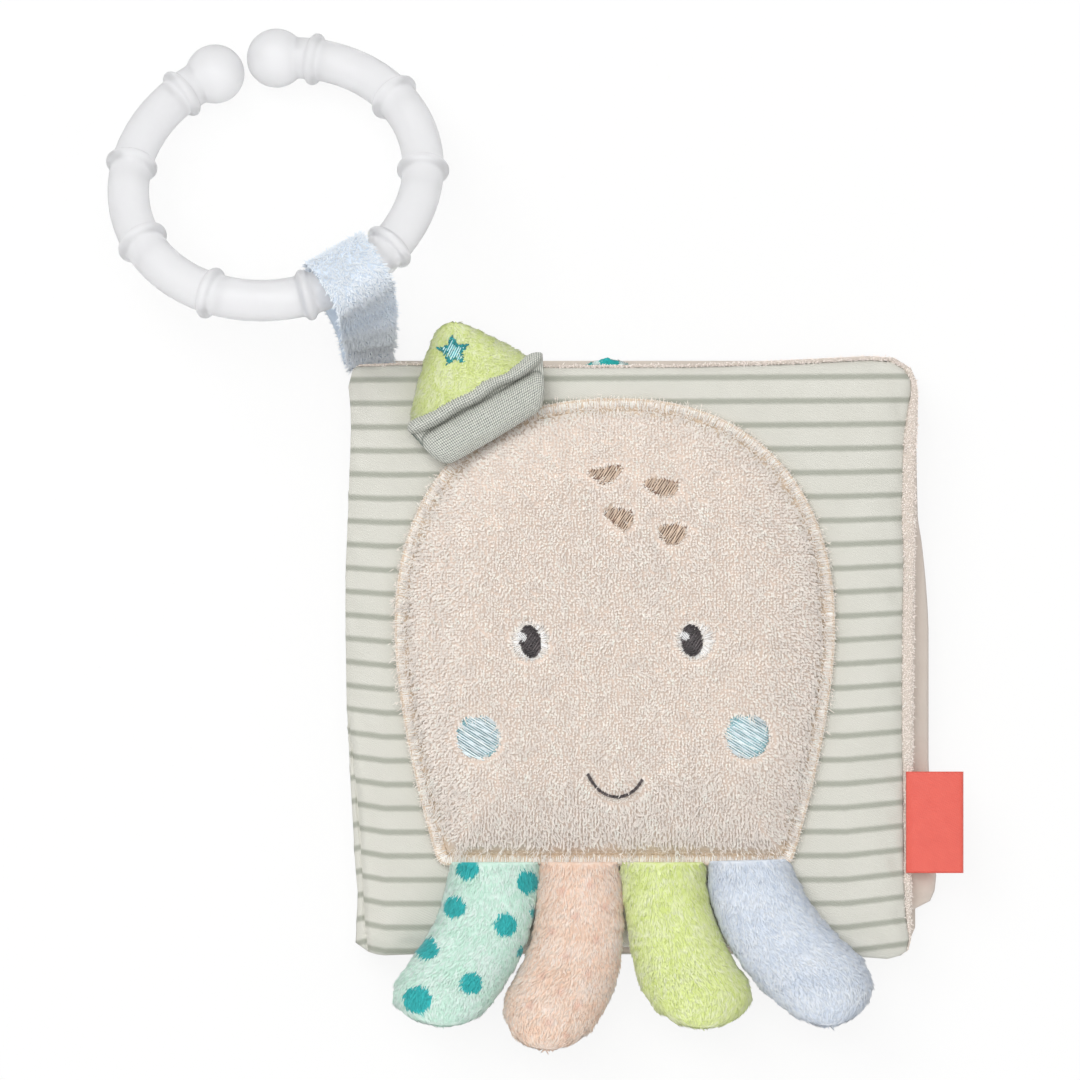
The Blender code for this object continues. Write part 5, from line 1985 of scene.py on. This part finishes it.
            # the sparse, lighter middle layer is a painted highlight: glints on the dark satin
            for angle, pitch, tone, high in (
                (38, 0.3, "#352E30", 0.6), (58, 0.5, "#544C4D", 0.66), (18, 0.45, "#2C2628", 0.74)
            ):
                lines = hatch(oval, angle, pitch, 100 + seed + angle, 0.14)
                self.satin(rows, lines, high, (0.35, 0.16, tone, seed, 0.3))
            starts, ends = hatch(ellipse(*glint, 0.95, 1.0, 20, 12), 60, 0.28, 110 + seed, 0.2)
            rows.add(self.on(starts, 1.2), self.on(ends, 1.1), 0.12, 0.12, "#FFFFFF", seed + 4, 0.06)
            finish_piece(rows.mesh(f"pupil_threads_{side}"), thread, "front_cover", "dark_thread", f"pupil_{side}")
        line = self.mouth()
        place = at_shares(line, np.linspace(0, 1, 15))
        run = np.diff(place, axis=0)
        aside = unit(left_of(run))
        rows = Stitches()
        for lean, seed in ((0.16, 9), (-0.16, 10)):
            first, last = place[:-1] - run * 0.12 - aside * lean, place[1:] + run * 0.12 + aside * lean
            rows.add(self.on(first, 0.4), self.on(last, 0.4), 0.5, 0.25, "#453C3D", seed, 0.3)
        finish_piece(rows.mesh("mouth_threads"), thread, "front_cover", "dark_thread", "mouth_stitch")

    def on(self, flat: Array, above: float) -> Array:
        """Lift flat places onto the pad, some way above it."""
        return lifted(flat, self.height(flat) + above)

    def satin(self, rows: Stitches, lines: tuple[Array, Array], above: float, thread: tuple) -> None:
        """Sew hatched lines onto the pad.

        Args:
            rows: The stitches that they join.
            lines: Where they start and end, flat.
            above: How high over the pad.
            thread: Their lift, radius, colour, seed and spread.
        """
        rows.add(self.on(lines[0], above), self.on(lines[1], above), *thread)


@dataclass
class Limb:
    """A stuffed plush finger: its two sides run from the seam to a shared tip."""

    name: str
    left: Path
    right: Path
    root_thick: float
    thick: float
    base: float
    tone: str
    seed: int
    spots: list[tuple[float, float, float]] = field(default_factory=list)
    spot_tone: str = "#3EA7A8"
    spot_edge: float = 0.0
    hairs: int = 17000
    hair: float = 1.9
    hair_wide: float = 0.27
    nap: float = 1.0
    droop: float = 0.0
    droop_from: float = -56.5
    droop_along: float = 9.0
    tip_from: float = 0.72
    slope: tuple[float, float, float] | None = None
    growth: float = 7.0

    def spine(self, count: int) -> tuple[Array, Array, Array, Array]:
        """Find sections along the limb.

        Args:
            count: How many.

        Returns:
            Middles, half-width vectors, half thicknesses and heights of the middle.
        """
        shares = np.sin(np.linspace(0, math.pi / 2, count))
        left = at_shares(soften(self.left, 160, 6), shares)
        right = at_shares(soften(self.right, 160, 6), shares)
        middle, half = (left + right) / 2, (right - left) / 2
        wide = lengths(half)
        grown = np.clip(travelled(middle) / self.growth, 0, 1)
        thick = (self.root_thick + (self.thick - self.root_thick) * smooth(grown)) / 2
        round_end = np.clip(wide / (wide.max() * 0.8), 0, 1)
        thick = np.where(shares > 0.5, thick * np.sqrt(1 - (1 - round_end) ** 2), thick)
        over = np.clip((self.droop_from - middle[:, 1]) / self.droop_along, 0, 1)
        height = self.base + thick - self.droop * smooth(over)
        if self.slope is not None:
            height = self.slope[0] + self.slope[1] * middle[:, 0] + self.slope[2] * middle[:, 1]
        return middle, half, thick, height

    def surface(self, along: Array, turn: Array, sections: int = 160) -> tuple[Array, Array, Array]:
        """Find places on the skin.

        Args:
            along: Shares of the sections, from root to tip.
            turn: Angles round the section, 0 at the right side, a quarter turn on top.
            sections: How finely the limb is cut.

        Returns:
            Places, outward normals and the way to the tip.
        """
        at = np.clip(along, 0, 1) * (sections - 1)
        middle, half, thick, height = (between_rows(values, at) for values in self.spine(sections))
        c, s = np.cos(turn), np.sin(turn)
        power = 2 / 2.35
        wide, up = np.sign(c) * np.abs(c) ** power, np.sign(s) * np.abs(s) ** power
        places = lifted(middle + half * wide[:, None], height + thick * up)
        side = unit(half)
        forward = -left_of(side)
        closing = (np.clip((at / (sections - 1) - self.tip_from) / (1 - self.tip_from), 0, 1) ** 2)[:, None]
        out = side * wide[:, None] * (1 - closing * 0.4) + forward * closing * 0.9
        return places, unit(lifted(out, up * (1.0 + 0.25 * (1 - np.abs(wide))))), lifted(forward, 0.0)

    def colours_at(self, places: Array, rng: np.random.Generator) -> Array:
        """Choose a hair's colour by where it grows.

        Args:
            places: The roots.
            rng: The source of unevenness.

        Returns:
            Linear colours.
        """
        base = rgb(self.tone)
        depth = 0.5 * rng.normal(size=len(places)) + 0.3 * ripple(places, 1.7, self.seed + 1)
        depth = (depth + 0.25 * ripple(places, 7.0, self.seed))[:, None]
        colour = base ** (1 + 0.4 * np.clip(depth, 0, 1)) * (1 - 0.06 * np.clip(depth, 0, 1))
        colour += (1 - base) * 0.35 * np.clip(-depth, 0, 1)
        dot = rgb(self.spot_tone)
        for x, y, radius in self.spots:
            away = np.hypot(places[:, 0] - x, places[:, 1] - y) + 0.12 * rng.normal(size=len(places))
            share = np.clip((radius - away) / max(self.spot_edge, 0.05), 0, 1)[:, None]
            colour = colour * (1 - share) + dot * (0.9 + 0.08 * rng.normal(size=(len(places), 1))) * share
        return colour

    def build(self, plush: Finish, body: str, slot: str, *nodes: str) -> Piece:
        """Make the limb with its pile.

        Args:
            plush: The plush's finish.
            body: The body that it moves with.
            slot: The record's material slot.
            nodes: The CAD nodes that it replaces.

        Returns:
            The object.
        """
        rng = np.random.default_rng(self.seed)
        rows, around = 110, 64
        along = np.repeat(np.linspace(0, 0.9985, rows), around)
        turn = np.tile(np.linspace(0, TURN, around, endpoint=False), rows)
        skin, _, _ = self.surface(along, turn)
        faces = tube_faces(rows, around)
        ends = [np.arange(around)[::-1][None], (np.arange(around) + (rows - 1) * around)[None]]
        middle, half, thick, _ = self.spine(160)
        girth = lengths(half) * 2 + thick * 2
        step = np.concatenate([[0], lengths(np.diff(middle, axis=0))])
        weight = np.cumsum(girth * np.maximum(step, 1e-4))
        weight /= weight[-1]
        picks = (np.arange(self.hairs) + rng.random(self.hairs)) / self.hairs
        share = np.interp(picks, weight, np.linspace(0, 1, 160))
        spin = np.mod(np.arange(self.hairs) * GOLDEN_TURN + rng.normal(0, 0.3, self.hairs), TURN)
        roots, normal, forward = self.surface(share, spin)
        length = self.hair * rng.uniform(0.7, 1.2, self.hairs)
        # each hair lies along the skin, so it lands on a place further on
        reach = np.cumsum(step)
        wanted = np.interp(share, np.linspace(0, 1, 160), reach) + self.nap * 0.8 * length
        ahead = np.clip(wanted, 0, reach[-1])
        later = np.interp(ahead, reach, np.linspace(0, 1, 160))
        landing, later, _ = self.surface(later, spin + rng.normal(0, 0.04, self.hairs))
        sway = np.stack([ripple(roots, 3.5, self.seed + 2), ripple(roots, 3.5, self.seed + 3)], 1)
        landing += rng.normal(0, 0.13, roots.shape) + 0.22 * lifted(sway, 0.0)
        closing = np.clip((share - self.tip_from) / 0.2, 0, 1)[:, None]
        outwards = normal * np.array([1.0, 1.0, 0.0]) + forward * 0.4
        landing = landing * (1 - closing) + (roots + outwards * length[:, None] * 0.5) * closing
        inset = roots - normal * 0.3
        middles = (roots + landing) / 2 + normal * 0.28
        tips = landing + later * rng.uniform(0.1, 0.5, (self.hairs, 1)) + normal * 0.08
        colour = self.colours_at((roots + tips) * 0.5, rng)
        widths = rng.uniform(0.8, 1.2, self.hairs) * self.hair_wide
        pile = Pile(inset, middles, tips, widths, colour, normal, 0.86, 1.08, 0.28)
        # the skin under the hair is painted a little darker than the hair: painted shade beneath it
        piece = pile.mesh(self.name, skin, (faces, *ends), self.colours_at(skin, rng) * 0.92)
        return finish_piece(piece, plush, body, slot, *nodes)


@dataclass
class Arms:
    """The four plush arms, whose outlines are measured on the photograph."""

    base: float = 17.65
    root_thick: float = 2.8
    thick: float = 8.0
    droop: float = 2.4

    def build(self, plush: Finish) -> None:
        """Make the arms.

        Args:
            plush: The plush's finish.
        """
        # name, tone, left and right side from root to tip, spots (x, y, radius), their tone and soft edge
        arms = (
            (
                "mint", "#DFFCEE",
                [
                    (-34.4, -39.2), (-34.5, -41.5), (-35.1, -43.7), (-36.3, -49.3), (-38.6, -53.8), (-41.1, -57.1),
                    (-43.5, -60.3), (-45.3, -63.2), (-45.7, -65.5), (-45, -67.3), (-43.7, -68.6), (-41.7, -69.8),
                    (-39, -70.7), (-36.3, -71.1),
                ],
                [
                    (-17.6, -39.2), (-17.6, -41.5), (-17.8, -43.7), (-18.7, -48.9), (-19.7, -52.8), (-21.1, -56.7),
                    (-23, -60.5), (-25, -63.8), (-26.7, -66.3), (-28.5, -68.4), (-30.8, -70.1), (-33.7, -71),
                    (-36.3, -71.1),
                ],
                [
                    (-31.2, -40.4, 2.15), (-19.6, -43, 2.15), (-33.7, -47.8, 2.15), (-23.8, -51.3, 2.24),
                    (-39, -55.9, 2.15), (-30.5, -62.6, 2.15), (-41, -65.9, 2.73), (-18.5, -48.8, 0.78),
                    (-20.9, -56.4, 0.88),
                ],
                "#3EC6C7", 0.0,
            ),
            (
                "peach", "#FFE4D1",
                [
                    (-17, -39.2), (-17.1, -41.5), (-17.4, -43.7), (-17.7, -48.6), (-18.1, -53.2), (-19.9, -58.5),
                    (-21.8, -62), (-23.3, -64.5), (-24, -68.1), (-23.3, -71.1), (-21.1, -74.1), (-19.1, -75.2),
                    (-16.2, -75.8),
                ],
                [
                    (-2.2, -39.2), (-1.7, -42.7), (-1.4, -45.4), (-1.4, -49.7), (-1.6, -54.1), (-2, -58.7),
                    (-2.8, -62.8), (-4.4, -66.9), (-6.3, -70.2), (-8.4, -72.7), (-11.1, -74.6), (-13.7, -75.6),
                    (-16.2, -75.8),
                ],
                [
                    (-12.9, -44.7, 1.15), (-7.4, -43.5, 1.15), (-4.7, -47.6, 1.15), (-10.3, -49.5, 1.15),
                    (-14.8, -52.5, 1.15), (-6.2, -54, 1.15), (-12.1, -57.3, 1.15), (-16.6, -61.2, 1.15),
                    (-7.8, -60.6, 1.15), (-13.3, -64.2, 1.15), (-19.1, -66.9, 1.15), (-9.8, -66.9, 1.15),
                    (-15.6, -70.4, 1.15), (-12.1, -72.7, 1),
                ],
                "#F6C9B6", 1.5,
            ),
            (
                "lime", "#ECF7AE",
                [
                    (-1.2, -39.2), (-1, -43.3), (-0.5, -47.6), (0.3, -51.9), (1, -56.4), (2, -61.1), (2.9, -64),
                    (4.5, -66.2), (6.2, -68.3), (8.7, -70), (11.3, -71.1), (14.2, -71.5),
                ],
                [
                    (14.6, -39.2), (14.8, -43.3), (15.2, -46.2), (15.9, -48.9), (18, -54.4), (19.7, -57.5),
                    (21.4, -60.3), (22.8, -62.2), (23.7, -64.2), (23.5, -66.6), (22, -68.8), (19.7, -70.4),
                    (17, -71.3), (14.2, -71.5),
                ],
                [], "#ECF7AE", 0.0,
            ),
            (
                "blue", "#E6EEF9",
                [
                    (15.9, -39), (15.9, -43.3), (16.4, -46.2), (17.2, -48.9), (18.5, -52.5), (20.6, -56.1),
                    (22.4, -59.1), (24.8, -62), (26.7, -64.3), (29.1, -66.2), (31.6, -68.3), (34.5, -70),
                    (36.9, -70.9), (39.2, -71.2),
                ],
                [
                    (30.7, -38.6), (31.6, -40.4), (32.6, -42.5), (33.7, -44.7), (35.5, -47.8), (37.4, -50.5),
                    (40.2, -53.4), (43, -56.1), (44.9, -57.7), (46, -59.5), (47, -61.4), (47.2, -63.7),
                    (46.4, -66.6), (45, -68.4), (43.4, -69.6), (41.5, -70.7), (39.2, -71.2),
                ],
                [], "#E6EEF9", 0.0,
            ),
        )
        for seed, (name, tone, left, right, spots, dot, edge) in enumerate(arms, 101):
            forms = (left, right, self.root_thick, self.thick, self.base, tone, seed)
            arm = Limb(f"{name}_arm", *forms, spots=spots, spot_tone=dot, spot_edge=edge, droop=self.droop)
            piece = arm.build(plush, f"arm_{name}", f"{name}_plush", f"arm_{name}_cover", f"arm_{name}_filling")


@dataclass
class Hat:
    """The little hat: a lime plush crown with a thread star, in a folded linen brim."""

    crown: str = "#EAF4B0"
    star: tuple[float, float] = (-34.0, 60.3)
    star_radius: float = 3.2
    turn: float = math.radians(26.5)
    middle: tuple[float, float, float] = (-28.5, 48.6, 21.9)
    fall: float = 0.2164 / 0.976
    crown_fall: float = 0.2217

    def height(self, places: Array) -> Array:
        """Give the height of the hat's sloping middle plane at each place."""
        x, y, z = self.middle
        return z - self.fall * ((places[:, 1] - y) * math.cos(self.turn) - (places[:, 0] - x) * math.sin(self.turn))

    def build(self, plush: Finish, linen: Finish, thread: Finish) -> None:
        """Make the hat.

        Args:
            plush: The crown's finish.
            linen: The brim's finish.
            thread: The star's finish.
        """
        x, y, z = self.middle
        east, north = self.crown_fall * math.sin(self.turn), -self.crown_fall * math.cos(self.turn)
        left = [
            (-18.9, 57.9), (-19.6, 59), (-21.6, 60.3), (-24.4, 61.7), (-26.9, 62.9), (-28.9, 63.9), (-30.8, 64.8),
            (-32.2, 65.5), (-33.7, 65.9),
        ]
        right = [
            (-41.7, 46.6), (-41.8, 48.2), (-41.4, 51), (-40.3, 55.4), (-38.9, 59.9), (-37.7, 63.2), (-36.6, 64.8),
            (-35.2, 65.7), (-33.7, 65.9),
        ]
        pile = {"hairs": 11000, "hair": 1.1, "hair_wide": 0.29, "nap": -0.7}
        slope = (z - east * x - north * y, east, north)
        crown = Limb("crown_plush", left, right, 4.6, 6.8, 0.0, self.crown, 111, slope=slope, **pile)
        piece = crown.build(plush, "hat", "lime_plush", "hat_crown", "hat_filling")
        self.brim(linen)
        self.thread_star(thread)

    def brim(self, linen: Finish) -> None:
        """Fold the linen brim: a band, its upper edge rolled over to the front.

        Args:
            linen: The brim's finish.
        """
        upper = [(-43.5, 45.6), (-41.4, 46.9), (-37.1, 49.4), (-29.3, 53.7), (-21.5, 58.2), (-16.8, 60.8)]
        lower = [(-36.4, 37.8), (-32.8, 39.7), (-26.9, 43), (-21.1, 46.6), (-16, 49.8)]
        # share across from the upper to the lower edge, height over the middle plane
        section = (
            (0.97, -1.35), (0.75, -1.5), (0.45, -1.5), (0.12, -1.3), (0.0, -0.5), (-0.04, 0.7), (-0.01, 2.0),
            (0.06, 3.1), (0.13, 3.5), (0.2, 3.2), (0.25, 2.2), (0.275, 0.2), (0.29, -0.6), (0.315, 0.4), (0.38, 1.6),
            (0.5, 2.3), (0.68, 2.4), (0.84, 2.0), (0.96, 1.1), (1.03, 0.1), (1.0, -0.8),
        )
        path = at_shares(section, np.linspace(0, 1, 70))
        across, heights = path[:, 0], path[:, 1]
        shares = close_at_ends(96, 0.8)
        upper_line, lower_line = (at_shares(soften(line, 60, 3), shares) for line in (upper, lower))
        end = np.clip(np.abs(shares - 0.5) * 2 - 0.8, 0, 0.2) / 0.2
        round_end = np.sqrt(1 - 0.93 * end**2)[:, None]
        in_roll = across < 0.29
        # the roll and the band end as two soft knobs, the crease between them running on
        knob = np.where(in_roll, 0.12, 0.64)
        drawn = knob + (across - knob) * round_end
        flat = upper_line[:, None] + (lower_line - upper_line)[:, None] * drawn[..., None]
        grid = flat.reshape(-1, 2)
        crumple = 0.2 * ripple(grid, 6.5, 121) + 0.08 * ripple(grid, 2.6, 122)
        wave = 0.45 * ripple(grid, 9.0, 123) * np.tile(in_roll, 96)
        turned = lifted(grid, self.height(grid) + (heights * (0.25 + 0.75 * round_end)).ravel() + crumple)
        space = turned + np.array([-0.45, 0.9, 0.0]) * wave[:, None] * 0.5
        made = mesh_object("brim_linen", space, [grid_faces(96, len(path))])
        steps = travelled(np.stack([across * 10.2, heights], 1))
        lay_uv(made, np.stack([np.repeat(shares, len(path)) * 31.4, np.tile(steps, 96)], 1))
        apply_modifier(made, "SOLIDIFY", thickness=0.4 * MM, offset=-1.0)
        turn_outwards(made)
        finish_piece(made, linen, "hat", "linen", "hat_brim")

    def thread_star(self, thread: Finish) -> None:
        """Sew the star with threads that run from its middle to its edge.

        Args:
            thread: The thread's finish.
        """
        centre = np.array([self.star])
        turns = math.radians(90 + 8) + np.arange(10) * math.pi / 5
        radii = np.where(np.arange(10) % 2 == 0, self.star_radius, self.star_radius * 0.5)
        outline = centre + around_at(turns) * radii[:, None]
        rows = Stitches()

        def over(flat: Array, gap: float) -> Array:
            """Lift places onto the crown, some way above it."""
            return lifted(flat, self.height(flat) + 3.35 + gap - 0.03 * lengths(flat - centre) ** 2)

        starts, ends = hatch(outline, 20, 0.34, 131, 0.2)
        rows.add(over(starts, 0.2), over(ends, 0.2), 0.2, 0.2, "#45B6BA", 1, 0.3)
        # pale threads over the teal are a painted highlight: glints on the satin
        starts, ends = hatch(outline * 0.8 + centre * 0.2, 64, 0.42, 132, 0.3)
        rows.add(over(starts, 0.4), over(ends, 0.4), 0.3, 0.13, "#D2F4F6", 3, 0.15)
        place = at_shares(np.concatenate([outline, outline[:1]]), np.linspace(0, 1, 74)[:-1])
        jagged = np.random.default_rng(133).normal(0, 0.07, (len(place), 1))
        inner, place = centre + (place - centre) * (0.66 + 2 * jagged), centre + (place - centre) * (1 + jagged)
        rows.add(over(place, 0.1), over(inner, 0.35), 0.3, 0.17, "#17888C", 2, 0.3)
        finish_piece(rows.mesh("star_threads"), thread, "hat", "teal_thread", "hat_star")


@dataclass
class PageTab:
    """A dotted plush tongue, sewn in the page's top seam."""

    x: float = -4.1
    root: float = 52.2
    radius: float = 6.3
    height: float = 8.65
    thick: float = 2.0
    tone: str = "#E4FBF7"

    def build(self, plush: Finish) -> None:
        """Make the tab with its pile.

        Args:
            plush: The plush's finish.
        """
        turns = np.linspace(0, math.pi / 2, 24)
        bow = around_at(turns) * [-self.radius, self.radius] + [self.x, self.root + 0.4]
        left = np.concatenate([[[self.x - self.radius, self.root]], bow])
        right = left * [-1, 1] + [2 * self.x, 0]
        spots = [(-8.4, 56.6, 1.9), (-3.6, 58.4, 2.0), (1.0, 56.4, 1.8), (-5.8, 53.8, 1.7), (-0.6, 53.6, 1.7)]
        looks = {"spots": spots, "spot_tone": "#31C2C1", "slope": (self.height, 0.0, 0.0), "growth": 2.0}
        pile = {"hairs": 3600, "hair": 0.9, "hair_wide": 0.24}
        tab = Limb("tab_plush", right, left, 1.6, self.thick, 0.0, self.tone, 141, **looks, **pile)
        tab.build(plush, "tab", "mint_plush", "page_tab")


# ---------------------------------------------------------------- studio


@dataclass
class Studio:
    """A plain pale floor, soft light and a camera straight above."""

    view_x: float = -17.2
    view_y: float = 23.6
    view_z: float = 18.0
    away: float = 3000.0
    seen: float = 210.6

    def build(self) -> None:
        """Make the floor, the lights and the camera."""
        bpy.context.scene.view_settings.view_transform = "Standard"
        self.floor()
        self.world()
        for name, place, size, power in (
            ("ceiling_light", (-200, 500, 4300), 2400, 67.0),
            ("window_light", (-620, 700, 1250), 900, 7.6),
            ("fill_light", (900, -200, 1100), 1200, 2.6),
            ("front_light", (-150, -1800, 450), 1300, 4.5),
        ):
            lamp = bpy.data.lights.new(name, "AREA")
            lamp.shape, lamp.size, lamp.energy = "DISK", size * MM, power
            holder = bpy.data.objects.new(name, lamp)
            holder.location = Vector(place) * MM
            way = Vector((0, 0, 0.01)) - holder.location
            holder.rotation_euler = way.to_track_quat("-Z", "Y").to_euler()
            bpy.context.scene.collection.objects.link(holder)
        camera = bpy.data.cameras.new("camera")
        camera.sensor_width, camera.lens = 36.0, 36.0 * self.away / self.seen
        camera.clip_start, camera.clip_end = 0.1, 20.0
        holder = bpy.data.objects.new("camera", camera)
        holder.location = Vector((self.view_x, self.view_y, self.view_z + self.away)) * MM
        bpy.context.scene.collection.objects.link(holder)
        bpy.context.scene.camera = holder

    def seen_directly(self, tree: bpy.types.NodeTree) -> Socket:
        """Tell rays that show the background from those that light the object.

        Args:
            tree: The node tree.

        Returns:
            A node that is 1 for camera, mirror and glass rays.
        """
        path = add_node(tree, "LightPath").outputs
        two = add_node(tree, "Math", {"operation": "MAXIMUM", 0: path["Is Camera Ray"], 1: path["Is Glossy Ray"]})
        return add_node(tree, "Math", {"operation": "MAXIMUM", 0: two, 1: path["Is Transmission Ray"]})

    def floor(self) -> None:
        """Lay the floor, which looks white and still keeps the object's shadow."""
        made, tree = new_material("white_paper")
        paper = add_node(tree, "BsdfDiffuse", {"Color": linear("#F7F7F6")})
        glow = add_node(tree, "Emission", {"Color": (1, 1, 1, 1), "Strength": 1.0})
        share = add_node(tree, "Math", {"operation": "MULTIPLY", 0: self.seen_directly(tree), 1: 0.86})
        both = add_node(tree, "MixShader", {0: share, 1: paper, 2: glow})
        add_node(tree, "OutputMaterial", {"Surface": both})
        side = 6.0
        points = np.array([[-1, -1, 0], [1, -1, 0], [1, 1, 0], [-1, 1, 0]], float) * side / 2 / MM
        floor = mesh_object("paper_floor", points, [np.array([[0, 1, 2, 3]])])
        floor.data.materials.append(made)

    def world(self) -> None:
        """Light the room evenly, white where it is seen."""
        world = bpy.data.worlds.new("soft_room")
        bpy.context.scene.world = world
        world.use_nodes = True
        tree = world.node_tree
        tree.nodes.clear()
        light = add_node(tree, "Background", {"Color": (1, 1, 1, 1), "Strength": 0.42})
        white = add_node(tree, "Background", {"Color": (1, 1, 1, 1), "Strength": 1.0})
        both = add_node(tree, "MixShader", {0: self.seen_directly(tree), 1: light, 2: white})
        add_node(tree, "OutputWorld", {"Surface": both})


def main() -> None:
    """Build the book from the leaves outwards, then the studio."""
    logging.basicConfig(level=logging.INFO, format="%(name)s: %(message)s")
    terry = Strands("polyester_terry", 0.95, 0.2, 0.1).build()
    plush = Strands("polyester_plush", 0.75, 0.35, 0.25).build()
    thread = Strands("rayon_thread", 0.42, 0.1, 0.5).build()
    stripes = StripedSateen().build()
    lining = PlainCotton("cream_cotton_lining", ("#D5CABF", "#CCC0B5")).build()
    page = PlainCotton("cream_cotton_page", ("#DBD0C6", "#D3C6BB")).build()
    wadding = HiddenLayer("polyester_wadding", ("#F4F3F0", "#E9E7E2"), 0.95, 3.0).build()
    film = HiddenLayer("crackling_film", ("#DCE3E8", "#F1F5F7"), 0.25, 6.0).build()
    Book().build(stripes, lining, page, (wadding, film), plush)
    SideLabel().build(WovenTape().build())
    Head().build(terry, thread)
    Arms().build(plush)
    Hat().build(plush, Linen().build(), thread)
    PageTab().build(plush)
    ClipRing().build(ClearPlastic().build())
    Strap().build(Strands("polyester_velour", 0.95, 0.4, 0.06).build())
    for name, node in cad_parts.items():
        if not node.hide_render:
            LOG.warning("%s still shows its CAD shape", name)
    Studio().build()


if __name__ == "__main__":
    main()
